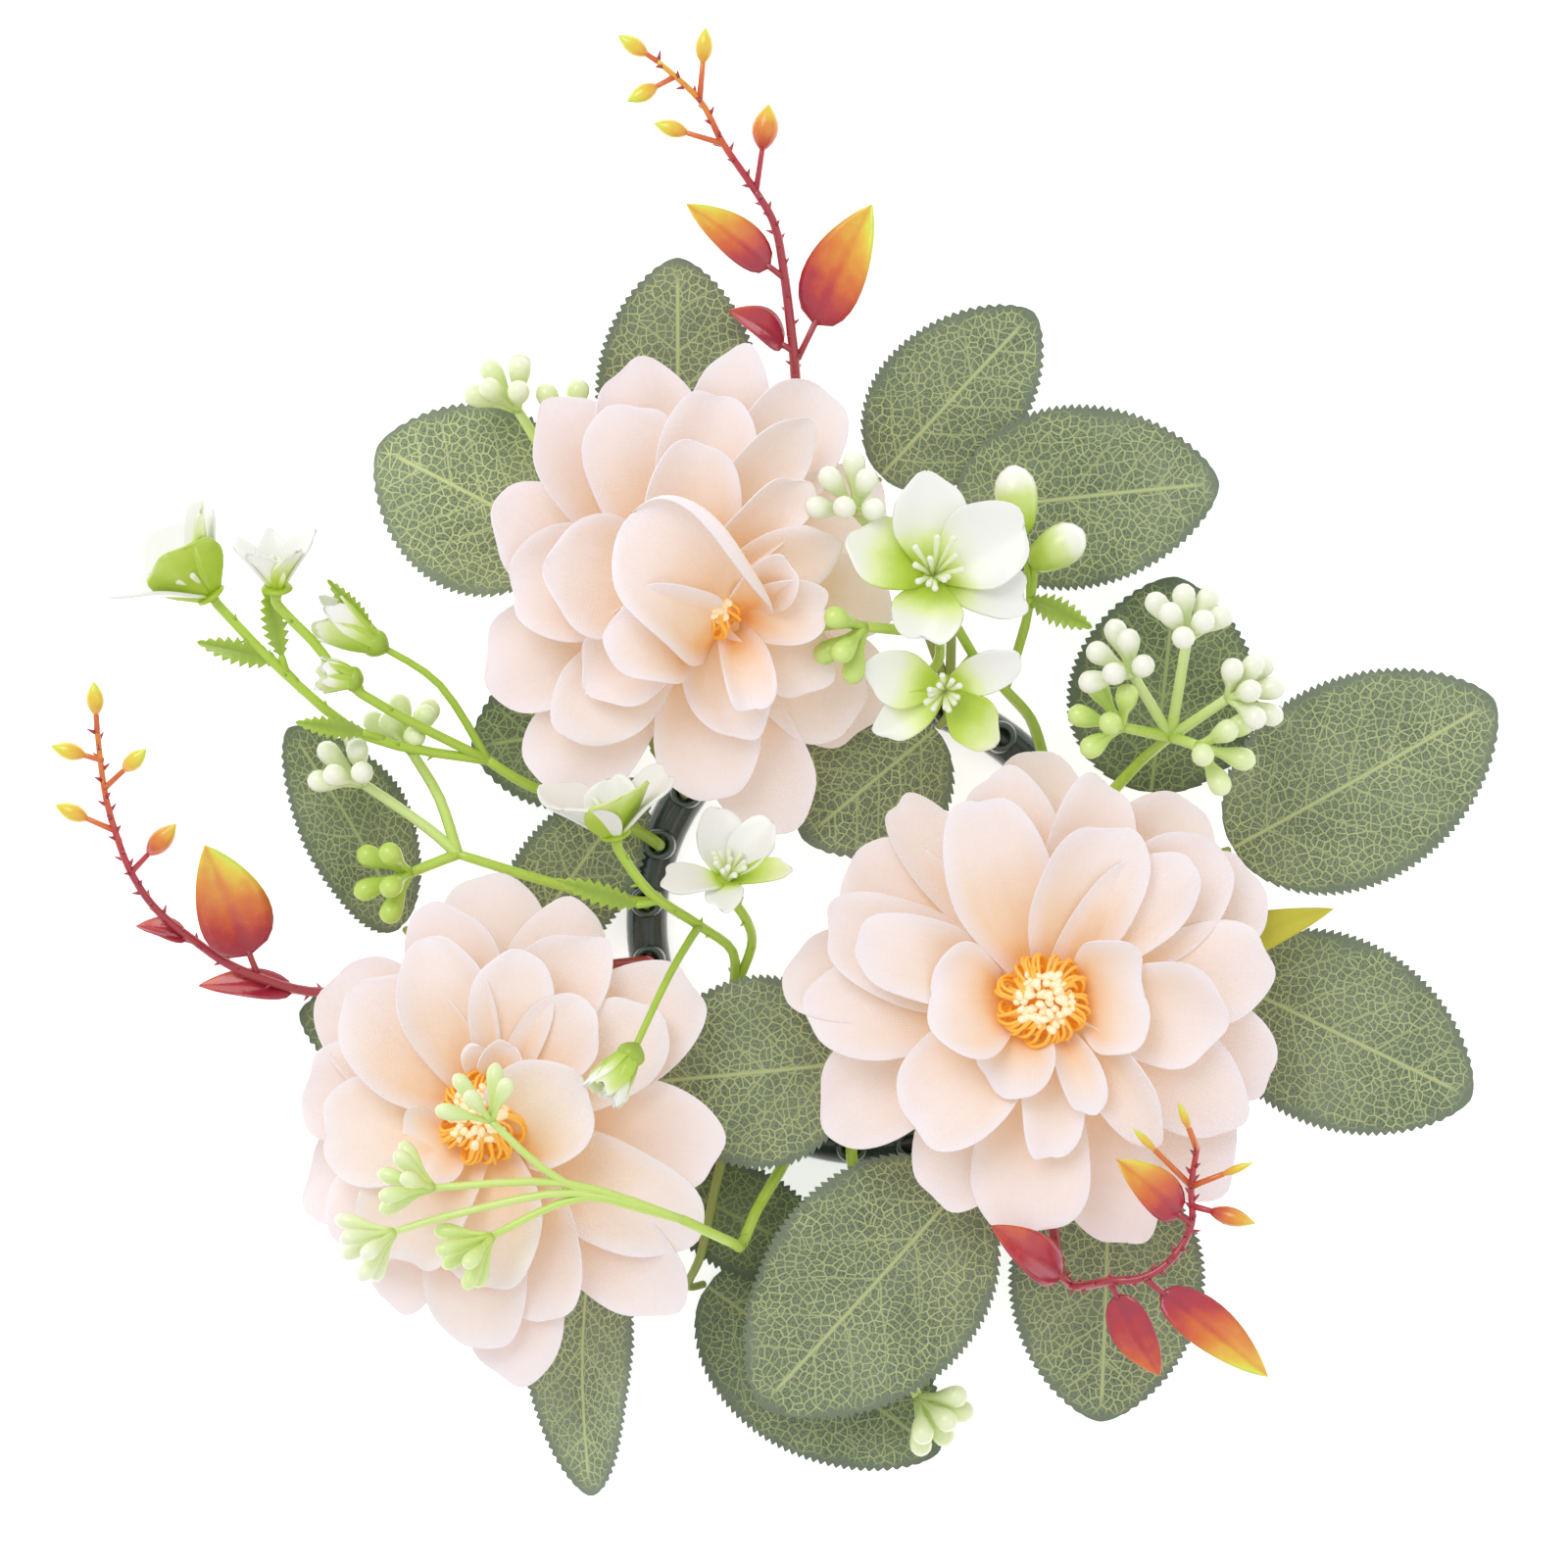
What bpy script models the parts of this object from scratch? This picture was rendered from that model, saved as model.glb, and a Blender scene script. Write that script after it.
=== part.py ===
"""Artificial flower crown: a moulded socket ring that holds fabric blooms, leaves, sprigs and sprays.

Metres, +Z up, the crown lies flat. The lengths below are in millimetres, and MM scales them where a mesh is made.
"""

import math

import bmesh
import bpy
from mathutils import Matrix, Vector

MM = 0.001
UP = Vector((0.0, 0.0, 1.0))

# Ring with moulded sockets
RING_INNER = 44.6
RING_OUTER = 53.6
RING_HEIGHT = 8.0
RING_SEGMENTS = 40
SOCKET_COUNT = 24
SOCKET_FIRST_DEG = 10.0
SOCKET_STEP_DEG = 15.0
SOCKET_CIRCLE = 49.1
SOCKET_OUTER_R = 3.4
SOCKET_TOP = 11.5
BORE_R = 1.95
BORE_FLOOR = 3.0
PIN_R = 1.4
PIN_FLOOR = 3.4

# Blooms
HUB_HOLE_R = 2.0
PEG_R = 1.9
PEG_TOP = 12.4
CALYX_R = 8.0
CALYX_DROP = 7.0
PETAL_THICK = 0.7
PETAL_ROWS = (0.0, 0.52, 1.0)
PETAL_COLUMNS = (-1.0, -0.6, -0.2, 0.2, 0.6)
# name, lobes, radius, foot height, rise, rise power, hump, turn in degrees
PETAL_LAYERS = (
    ("petals_outer", 8, 52.0, 0.0, -1.5, 2.0, 3.0, 0.0),
    ("petals_middle", 8, 46.0, 3.8, 4.0, 1.2, 0.0, 22.0),
    ("petals_inner", 7, 36.0, 7.4, 8.0, 1.4, 0.0, 9.0),
    ("petals_heart", 5, 23.0, 11.0, 11.0, 1.6, 0.0, 30.0),
)
STAMEN_FOOT = 13.0
STAMEN_HEIGHT = 8.5
STAMEN_LOBES = 10

# name, socket, stem way points, hub, lean towards, lean in degrees, size
BLOOMS = (
    ("bloom_top", 7, ((-26, 50, 16),), (-41, 70, 31), (0.97, -0.24), 15.0, 1.0),
    ("bloom_right", 21, ((39, -24, 17),), (35, -16, 31), (0.20, 0.98), 3.0, 1.04),
    ("bloom_left", 13, ((-56, -28, 14),), (-79, -42, 31), (-0.80, 0.60), 13.0, 0.99),
)

# Fabric leaves
LEAF_THICK = 0.7
LEAF_GAP = 0.35
LEAF_STATIONS = 7
LEAF_ACROSS = (-1.0, 0.0, 1.0)
# name, base, tip, width, arch, fold, roll in degrees
LEAVES = (
    ("leaf_top_upright", (-42, 92, 9), (-42, 144, 15), 36, 3.0, 1.5, 0),
    ("leaf_top_left", (-66, 82, 13), (-107, 103, 16), 42, 3.0, 1.5, 0),
    ("leaf_under_top_bloom", (-54, 43, 9), (-87, 38, 11), 33, 2.0, 1.0, 0),
    ("leaf_between_blooms", (-78, -8, 6), (-50, 31, 9), 26, 1.0, 1.0, 0),
    ("leaf_top_right", (2, 97, 9), (35, 132, 17), 33, 3.0, 1.5, 0),
    ("leaf_upper_right", (18, 89, 15), (75, 95, 18), 40, 4.0, 1.5, 0),
    ("leaf_over_ring", (14, 42, 15), (-15, 18, 17), 34, 1.0, 1.0, 0),
    ("leaf_right_large", (78, 16, 15), (134, 48, 21), 45, 4.0, 1.5, 0),
    ("leaf_behind_berries", (61, 28, 8), (66, 75, 13), 42, 3.0, 1.5, 0),
    ("leaf_right_lower", (76, -12, 9), (130, -38, 14), 42, 4.0, 1.5, 0),
    ("leaf_bottom_right", (52, -53, 7), (50, -109, 9), 43, 3.0, 1.5, 0),
    ("leaf_bottom_front", (21, -55, 17), (-24, -104, 21), 48, 4.0, 1.5, 0),
    ("leaf_bottom_behind", (-36, -80, 3), (15, -116, 5), 40, 1.0, 1.0, 0),
    ("leaf_lower_ring", (-44, -57, 8), (-8, -75, 8.5), 24, 1.0, 1.0, 0),
    ("leaf_inside_ring", (-4, -30, 20), (-50, -34, 26), 42, 2.0, 1.0, 0),
    ("leaf_far_left", (-102, -1, 8), (-126, 42, 22), 30, 3.0, 1.5, 42),
    ("leaf_left_tip", (-90, -28, 4), (-125, -20, 6), 24, 1.0, 1.0, 0),
    ("leaf_bottom_left", (-61, -68, 11), (-61, -124, 16), 32, 3.0, 1.5, 40),
)

# name, socket, trunk way points, then each leaf with the way points of its branch
LEAF_PICKS = (
    (
        "leaf_pick_top_left",
        9,
        ((-42, 31, 13.5), (-47, 38, 13.5)),
        (
            ("leaf_top_upright", ((-52, 54, 10), (-50, 76, 8.5), (-44, 88, 8.5))),
            ("leaf_top_left", ((-55, 58, 11), (-61, 70, 12))),
            ("leaf_under_top_bloom", ((-50, 43, 10.5),)),
        ),
    ),
    (
        "leaf_pick_top_right",
        4,
        ((17, 50, 14.5),),
        (
            ("leaf_top_right", ((11, 66, 12), (4, 84, 9.5), (1, 93, 8.7))),
            ("leaf_upper_right", ((17, 70, 15), (14, 84, 15))),
            ("leaf_over_ring", ((16.5, 45, 15.5),)),
        ),
    ),
    (
        "leaf_pick_right",
        0,
        ((52, 10, 14),),
        (
            ("leaf_right_large", ((64, 12, 14),)),
            ("leaf_behind_berries", ((57, 19, 10),)),
            ("leaf_right_lower", ((62, -2, 11), (71, -9, 9)))
        ),
    ),
    (
        "leaf_pick_bottom_right",
        19,
        ((21, -48, 14.5),),
        (
            ("leaf_bottom_right", ((30, -51, 11), (46, -48, 7.6))),
            ("leaf_bottom_front", ((22, -51, 16.5),)),
            ("leaf_inside_ring", ((14, -40, 17), (2, -31, 19.5))),
        ),
    ),
    (
        "leaf_pick_bottom_left",
        15,
        ((-31, -45, 14),),
        (
            ("leaf_bottom_behind", ((-34, -58, 13), (-37, -72, 12.2), (-40, -79.5, 6))),
            ("leaf_lower_ring", ((-40, -50, 11), (-48, -54, 8.4))),
            ("leaf_bottom_left", ((-44, -55, 12), (-57, -63, 10.5))),
            ("leaf_left_tip", ((-44, -47, 11), (-62, -38, 6), (-80, -30, 4.2))),
            ("leaf_between_blooms", ((-44, -47, 11), (-62, -38, 6), (-76, -24, 5), (-80, -13, 5.6))),
            ("leaf_far_left", ((-44, -47, 11), (-62, -38, 6), (-76, -24, 5), (-93, -12, 7.0))),
        ),
    ),
)

# Red sprigs: name, socket, stem way points, leaves (base, tip, width, roll), buds (foot on the stem, centre)
SPRIGS = (
    (
        "red_sprig_top",
        6,
        (
            (-9, 54, 14.5), (-12, 90, 13.5), (-16, 114, 14), (-17, 124, 17), (-19, 140, 20),
            (-21, 150, 22), (-25, 157, 24), (-32, 167, 26), (-37, 176, 28), (-46, 184, 30),
        ),
        (
            ((-19, 139, 20), (-40, 154, 26), 10, 15),
            ((-16, 121, 16), (0, 155, 26), 15, -15),
            ((-18, 129, 18), (-31, 130, 24), 8, 40),
        ),
        (
            ((-46, 184, 30), (-51, 187, 32)), ((-42, 181, 29), (-49, 177, 31)),
            ((-37, 176, 28), (-36, 187, 31)), ((-32, 167, 26), (-43, 170, 28)),
            ((-25, 157, 24), (-23, 170, 28)),
        ),
    ),
    (
        "red_sprig_left",
        12,
        (
            (-54, -9, 14), (-80, -12, 12.5), (-105, -14, 12), (-122, -15, 13), (-137, -10, 16),
            (-146, -4, 18), (-154, 3, 21), (-159, 11, 24), (-162, 20, 27), (-164, 29, 29), (-165, 41, 32),
        ),
        (
            ((-133, -11, 15), (-143, 17, 26), 17, 15),
            ((-122, -15, 13), (-146, -14, 12), 8, 35),
            ((-146, -4, 18), (-159, -1, 16), 6, 40),
        ),
        (
            ((-164, 35, 30.4), (-171, 37, 32)), ((-164, 29, 29), (-157, 35, 33)),
            ((-162, 20, 27), (-171, 24, 28)), ((-159, 11, 24), (-152, 18, 28)), ((-165, 41, 32), (-165, 48, 35)),
        ),
    ),
    (
        "red_sprig_lower_right",
        20,
        (
            (34, -46, 15), (38, -60, 18), (40, -73, 25), (42, -76, 38), (49, -74, 47),
            (56, -73, 49), (62, -69, 49), (66, -62, 49), (66, -54, 49), (67, -46, 51),
        ),
        (
            ((42, -76, 38), (24, -62, 50), 10, 20),
            ((49, -74, 47), (60, -94, 43), 10, 20),
            ((56, -73, 49), (82, -94, 47), 11, -20),
            ((66, -62, 49), (50, -48, 54), 10, 20),
        ),
        (
            ((66, -58, 49), (74, -60, 52)), ((66, -54, 49), (56, -44, 54)),
            ((67, -46, 51), (64, -39, 55)), ((66, -54, 49), (75, -50, 53)),
        ),
    ),
)

# Berry sprays: name, socket, trunk way points, hubs (way points from the trunk's end, hub, heading, berries)
BERRY_SPRAYS = (
    (
        "berry_spray_top_left",
        8,
        ((-35, 45, 15), (-52, 72, 19), (-66, 94, 22)),
        (
            ((), (-76, 110, 26), (-0.35, 0.7, 0.5), 5),
            ((), (-66, 105, 25), (0.35, 0.7, 0.5), 4),
        ),
    ),
    (
        "berry_spray_right",
        1,
        ((48, 24, 15), (57, 34, 19), (61, 38, 27), (63, 40, 34)),
        (
            ((), (65, 60, 50), (0.0, 0.7, 0.7), 5),
            ((), (54, 53, 46), (-0.5, 0.4, 0.7), 4),
            ((), (74, 48, 46), (0.7, 0.3, 0.65), 5),
            ((), (52, 42, 42), (-0.6, 0.3, 0.7), 3),
            ((), (68, 38, 44), (0.7, -0.1, 0.7), 3),
        ),
    ),
    (
        "berry_spray_centre",
        5,
        ((8, 50, 15), (14, 56, 22), (14, 62, 33)),
        (
            ((), (-2, 63, 44.5), (-0.75, -0.45, 0.35), 4),
            (((4, 78, 42),), (-5, 87, 46), (-0.4, 0.5, 0.7), 5),
        ),
    ),
    (
        "berry_spray_left",
        11,
        ((-54, 5, 15), (-70, 9, 20), (-89, 15, 24)),
        (
            (((-93, 27, 23),), (-99, 37, 23), (-0.1, 0.8, 0.45), 4),
            (((-96, 21, 24),), (-109, 30, 26), (-0.5, 0.6, 0.6), 4),
            ((), (-99, 11, 26), (-0.7, -0.2, 0.6), 3),
        ),
    ),
    (
        "berry_spray_over_left_bloom",
        16,
        ((-19, -52, 15), (-25, -62, 20), (-28, -68, 32), (-30, -66, 46), (-40, -60, 58)),
        (
            (((-64, -52, 63),), (-91, -53, 63), (-0.9, 0.3, 0.3), 4),
            (((-64, -52, 63),), (-79, -39, 66), (-0.4, 0.8, 0.4), 3),
            (((-60, -55, 62),), (-79, -63, 61), (-0.8, -0.6, 0.2), 4),
            (((-62, -54, 62.5), (-85, -58, 63)), (-99, -62, 63), (-0.9, -0.5, 0.2), 4),
        ),
    ),
    (
        "berry_spray_bottom",
        17,
        ((-4, -53, 14.5), (0, -76, 13.5), (7, -96, 13.5)),
        (
            ((), (10, -103, 14), (0.7, -0.6, 0.3), 5),
        ),
    ),
)

# The one long sepal that shows past the petals: bloom, base, tip, width
SEPAL = ("bloom_right", (40, -14.5, 28.2), (98, 2.5, 22), 8.5)

# Blossom sprays: name, socket, trunk way points, then heads (name, way points, foot, facing, radius, cup) and buds or bracts (stalk, tip, radius)
BLOSSOM_SPRAYS = (
    (
        "blossom_stem_right",
        2,
        ((37, 36, 15), (34, 44, 22), (28, 50, 33), (21, 57, 40)),
        (
            ("blossom_right_upper", (), (12, 73, 48), (0.1, 0.2, 0.97), 20, 4.0),
            ("blossom_right_lower", (), (15, 50, 42), (-0.1, -0.2, 0.97), 16, 4.0),
        ),
        (
            (((28, 50, 33), (31, 60, 36), (33, 69, 38)), (46, 63, 39), 3.0),
            (((28, 50, 33), (33, 68, 37), (31, 84, 39)), (29, 97, 41), 4.5),
            (((28, 50, 33), (33, 68, 37), (34, 77, 39)), (44, 83, 42), 4.5),
        ),
    ),
    (
        "blossom_stem_centre",
        14,
        ((-36, -25, 15), (-30, -15, 17.5)),
        (
            ("blossom_centre_left", ((-30, -6, 23), (-37, 0, 34), (-47, 7, 42)), (-54, 18.5, 47), (-0.2, 0.75, 0.6), 14, 11.0),
            ("blossom_centre_right", ((-26, -5, 22), (-27, 1, 30)), (-31, 9, 38), (0.0, 0.7, 0.7), 14, 9.0),
        ),
        (
            (((-37, 0, 34), (-43, -10, 50), (-50, -25, 57)), (-56, -34, 58), 4.0),
            (((-45, 5.5, 40.5), (-50, 4.5, 42)), (-67, 10, 46), 2.6),
        ),
    ),
    (
        "blossom_stem_left",
        10,
        ((-51, 20, 16), (-64, 26, 24), (-74, 30, 29), (-82, 35, 31)),
        (
            ("blossom_left_outer", ((-107, 40, 35), (-124, 53, 38)), (-139, 69, 41), (-0.5, 0.7, 0.4), 16, 15.0),
            ("blossom_left_inner", ((-108, 49, 40), (-118, 60, 43)), (-125, 70, 47), (0.0, 0.85, 0.5), 10, 10.0),
        ),
        (
            (((-82, 35, 31), (-92, 51, 34), (-104, 59, 38)), (-117, 66, 42), 5.0),
            (((-122, 51.5, 37.8), (-126, 56, 38)), (-143, 60, 38), 2.8),
            (((-104, 39.5, 34.6), (-108, 41, 37)), (-122, 43, 40), 2.4),
        ),
    ),
)

BERRY_R = 2.4
STEM_R = 1.15


def plastic(name, colour, roughness):
    """A Principled material for a moulded piece."""
    made = bpy.data.materials.new(name)
    made.use_nodes = True
    shader = made.node_tree.nodes["Principled BSDF"]
    shader.inputs["Base Color"].default_value = (*colour, 1.0)
    shader.inputs["Roughness"].default_value = roughness
    made.diffuse_color = (*colour, 1.0)
    return made


def clear_scene():
    for obj in list(bpy.data.objects):
        bpy.data.objects.remove(obj)


def add_object(name, verts, faces, material, matrix=None, parent=None):
    """A mesh object from millimetre vertices in the crown's frame, with its own origin at matrix's location."""
    frame = matrix or Matrix.Identity(4)
    back = frame.inverted()
    local = [(back @ Vector(v)) * MM for v in verts]
    mesh = bpy.data.meshes.new(name)
    mesh.from_pydata(local, [], faces)
    work = bmesh.new()
    work.from_mesh(mesh)
    bmesh.ops.recalc_face_normals(work, faces=work.faces)
    work.to_mesh(mesh)
    work.free()
    mesh.materials.append(material)
    obj = bpy.data.objects.new(name, mesh)
    placed = frame.copy()
    placed.translation = frame.translation * MM
    obj.matrix_world = placed
    bpy.context.scene.collection.objects.link(obj)
    if parent is not None:
        obj.parent = parent
    return obj


def tube(points, radii, sides=6, turn=0.0):
    """A closed round rod along points, with one radius per point."""
    path = [Vector(p) for p in points]
    verts = []
    side = None
    for i, here in enumerate(path):
        ahead = path[min(i + 1, len(path) - 1)] - path[max(i - 1, 0)]
        ahead.normalize()
        if side is None:
            guide = Vector((1, 0, 0)) if abs(ahead.x) < 0.9 else Vector((0, 1, 0))
            side = guide - ahead * guide.dot(ahead)
        side = (side - ahead * side.dot(ahead)).normalized()
        other = ahead.cross(side)
        for k in range(sides):
            angle = 2 * math.pi * k / sides + turn
            verts.append(here + (side * math.cos(angle) + other * math.sin(angle)) * radii[i])
    faces = [tuple(reversed(range(sides)))]
    for i in range(len(path) - 1):
        for k in range(sides):
            a = i * sides + k
            b = i * sides + (k + 1) % sides
            faces.append((a, b, b + sides, a + sides))
    last = (len(path) - 1) * sides
    faces.append(tuple(range(last, last + sides)))
    return verts, faces


def smooth_path(points, steps=2, rise=0.0):
    """Catmull-Rom points through the given ones. With a rise, the path starts upwards."""
    path = [Vector(p) for p in points]
    out = []
    for i in range(len(path) - 1):
        p0 = path[i - 1] if i else path[0] - UP * rise
        p1 = path[i]
        p2 = path[i + 1]
        p3 = path[min(i + 2, len(path) - 1)]
        for k in range(steps):
            t = k / steps
            out.append(
                0.5 * (2 * p1 + (p2 - p0) * t + (2 * p0 - 5 * p1 + 4 * p2 - p3) * t * t
                       + (3 * p1 - p0 - 3 * p2 + p3) * t * t * t)
            )
    out.append(path[-1])
    return out


def taper(count, start, end):
    return [start + (end - start) * i / (count - 1) for i in range(count)]


def drop(foot, tip, radius, sides=6):
    """A closed drop-shaped berry or bud from its foot to its tip."""
    a = Vector(foot)
    b = Vector(tip)
    at = (0.0, 0.3, 0.68, 1.0)
    wide = (0.35, 0.85, 1.0, 0.35)
    return tube([a.lerp(b, t) for t in at], [radius * w for w in wide], sides)


def socket_spot(index):
    angle = math.radians(SOCKET_FIRST_DEG + SOCKET_STEP_DEG * index)
    return SOCKET_CIRCLE * math.cos(angle), SOCKET_CIRCLE * math.sin(angle)


def pin_points(index):
    """The straight part of a stem, which stands in its socket."""
    x, y = socket_spot(index)
    return [Vector((x, y, PIN_FLOOR)), Vector((x, y, SOCKET_TOP + 0.9))]


def stem_path(index, way, steps=1):
    """The pin in its socket, then the way points, leaving the socket upwards."""
    pin = pin_points(index)
    return pin[:1] + smooth_path(pin[1:] + [Vector(p) for p in way], steps, 9.0)


def blade(base, tip, width, thick, arch, fold, roll, stations=LEAF_STATIONS, blunt=0.75):
    """A closed leaf blade: pointed at the tip, arched along its length and folded a little along its midrib."""
    a = Vector(base)
    b = Vector(tip)
    along = (b - a).normalized()
    across = along.cross(UP).normalized()
    lift = across.cross(along).normalized()
    spin = Matrix.Rotation(math.radians(roll), 3, along)
    across = spin @ across
    lift = spin @ lift
    top = []
    for i in range(stations):
        t = i / (stations - 1)
        half = 0.5 * width * max(math.sin(math.pi * t**blunt) ** 0.75, 0.07)
        middle = a.lerp(b, t) + lift * arch * math.sin(math.pi * t)
        for u in LEAF_ACROSS:
            top.append(middle + across * half * u + lift * fold * u * u * math.sin(math.pi * t))
    low = [v - lift * thick for v in top]
    n = len(LEAF_ACROSS)
    m = len(top)
    faces = []
    for i in range(stations - 1):
        for k in range(n - 1):
            q = i * n + k
            faces.append((q, q + 1, q + n + 1, q + n))
            faces.append((q + m + n, q + m + n + 1, q + m + 1, q + m))
    rim = [k for k in range(n)] + [i * n + n - 1 for i in range(1, stations)]
    rim += [(stations - 1) * n + k for k in reversed(range(n - 1))] + [i * n for i in reversed(range(1, stations - 1))]
    for q, r in zip(rim, rim[1:] + rim[:1]):
        faces.append((q, q + m, r + m, r))
    return top + low, faces


def lobe_radius(u, radius):
    """The petal outline: round-ended, with a notch between neighbours."""
    return radius * (0.40 + 0.60 * max(0.0, 1.0 - abs(u) ** 2.4) ** 0.5)


def layer_height(r, radius, foot, rise, power, hump):
    share = min(r / radius, 1.0)
    return foot + rise * share**power + hump * math.sin(math.pi * share**0.8)


def rosette(lobes, radius, foot, rise, power, hump, turn, hole, thick, cup=0.8):
    """One die-cut layer of petals round a hub hole, in its own frame with the hole on Z."""
    top = []
    columns = lobes * len(PETAL_COLUMNS)
    for k in range(lobes):
        for u in PETAL_COLUMNS:
            angle = (2 * k + u) * math.pi / lobes + math.radians(turn)
            reach = lobe_radius(u, radius)
            for share in PETAL_ROWS:
                r = hole + (reach - hole) * share
                z = layer_height(r, radius, foot, rise, power, hump) + cup * u * u * share
                top.append(Vector((r * math.cos(angle), r * math.sin(angle), z + thick)))
    low = [v - Vector((0, 0, thick)) for v in top]
    rows = len(PETAL_ROWS)
    m = len(top)
    faces = []
    for c in range(columns):
        a = c * rows
        b = (c + 1) % columns * rows
        for i in range(rows - 1):
            faces.append((a + i, a + i + 1, b + i + 1, b + i))
            faces.append((b + i + m, b + i + 1 + m, a + i + 1 + m, a + i + m))
        faces.append((b, b + m, a + m, a))
        e = rows - 1
        faces.append((a + e, a + e + m, b + e + m, b + e))
    return top + low, faces


def filled_rosette(lobes, radius, rise, thick):
    """A small moulded flower head without a hole."""
    top = [Vector((0, 0, thick))]
    rows = (0.55, 1.0)
    columns = lobes * 4
    for k in range(lobes):
        for u in (-1.0, -0.5, 0.0, 0.5):
            angle = (2 * k + u) * math.pi / lobes
            reach = lobe_radius(u, radius)
            for share in rows:
                r = reach * share
                z = rise * (r / radius) ** 1.5 + thick
                flat = math.sqrt(max(0.0, 1.0 - (rise / (radius * 1.6)) ** 2))
                top.append(Vector((r * flat * math.cos(angle), r * flat * math.sin(angle), z)))
    low = [v - Vector((0, 0, thick)) for v in top]
    n = len(rows)
    m = len(top)
    faces = []
    for c in range(columns):
        a = 1 + c * n
        b = 1 + (c + 1) % columns * n
        faces.append((0, a, b))
        faces.append((m, b + m, a + m))
        for i in range(n - 1):
            faces.append((a + i, a + i + 1, b + i + 1, b + i))
            faces.append((b + i + m, b + i + 1 + m, a + i + 1 + m, a + i + m))
        e = n - 1
        faces.append((a + e, a + e + m, b + e + m, b + e))
    return top + low, faces


def lathe(profile, sides):
    """A closed solid of revolution about Z from (radius, height) pairs, the first and last on the axis ends."""
    verts = []
    faces = []
    for r, z in profile:
        for k in range(sides):
            angle = 2 * math.pi * k / sides
            verts.append(Vector((r * math.cos(angle), r * math.sin(angle), z)))
    faces.append(tuple(reversed(range(sides))))
    for i in range(len(profile) - 1):
        for k in range(sides):
            a = i * sides + k
            b = i * sides + (k + 1) % sides
            faces.append((a, b, b + sides, a + sides))
    last = (len(profile) - 1) * sides
    faces.append(tuple(range(last, last + sides)))
    return verts, faces


def placed(solid, frame):
    verts, faces = solid
    return [frame @ v for v in verts], faces


def facing_frame(foot, axis):
    """A frame at foot whose Z is the axis."""
    turn = UP.rotation_difference(Vector(axis).normalized()).to_matrix().to_4x4()
    return Matrix.Translation(Vector(foot)) @ turn


def helper(name, solid, group, material):
    obj = add_object(name, solid[0], solid[1], material)
    bpy.context.scene.collection.objects.unlink(obj)
    group.objects.link(obj)
    obj.hide_render = True
    obj.display_type = "WIRE"
    return obj


def combine(obj, solids, material, operation, label):
    """Joins solids to the object, or cuts them from it, in one exact Boolean."""
    group = bpy.data.collections.new(f"{obj.name}_{label}")
    bpy.context.scene.collection.children.link(group)
    for i, solid in enumerate(solids):
        helper(f"{obj.name}_{label}_{i:02d}", solid, group, material)
    step = obj.modifiers.new(label, "BOOLEAN")
    step.operation = operation
    step.operand_type = "COLLECTION"
    step.collection = group
    step.solver = "EXACT"
    return obj


def ring_body():
    """The ring's own band: flat below, rounded above."""
    middle = (RING_INNER + RING_OUTER) / 2
    half = (RING_OUTER - RING_INNER) / 2
    outline = (
        (middle - half * 0.8, 0.0), (middle + half * 0.8, 0.0), (middle + half, RING_HEIGHT * 0.35),
        (middle + half * 0.72, RING_HEIGHT * 0.86), (middle, RING_HEIGHT),
        (middle - half * 0.72, RING_HEIGHT * 0.86), (middle - half, RING_HEIGHT * 0.35),
    )
    verts = []
    faces = []
    n = len(outline)
    for s in range(RING_SEGMENTS):
        angle = 2 * math.pi * s / RING_SEGMENTS
        for r, z in outline:
            verts.append(Vector((r * math.cos(angle), r * math.sin(angle), z)))
    for s in range(RING_SEGMENTS):
        for k in range(n):
            a = s * n + k
            b = (s + 1) % RING_SEGMENTS * n + k
            c = (s + 1) % RING_SEGMENTS * n + (k + 1) % n
            d = s * n + (k + 1) % n
            faces.append((a, b, c, d))
    return verts, faces


def make_ring(material, root):
    ring = add_object("ring_base", *ring_body(), material, parent=root)
    bosses = []
    bores = []
    for i in range(SOCKET_COUNT):
        x, y = socket_spot(i)
        bosses.append(tube([(x, y, 1.0), (x, y, SOCKET_TOP)], [SOCKET_OUTER_R + 0.3, SOCKET_OUTER_R], 7))
        bores.append(tube([(x, y, BORE_FLOOR), (x, y, SOCKET_TOP + 2)], [BORE_R, BORE_R], 6))
    combine(ring, bosses, material, "UNION", "sockets")
    combine(ring, bores, material, "DIFFERENCE", "bores")
    return ring


def bloom_axis(lean_to, lean):
    flat = Vector((lean_to[0], lean_to[1], 0.0)).normalized()
    return flat * math.sin(math.radians(lean)) + UP * math.cos(math.radians(lean))


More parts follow.
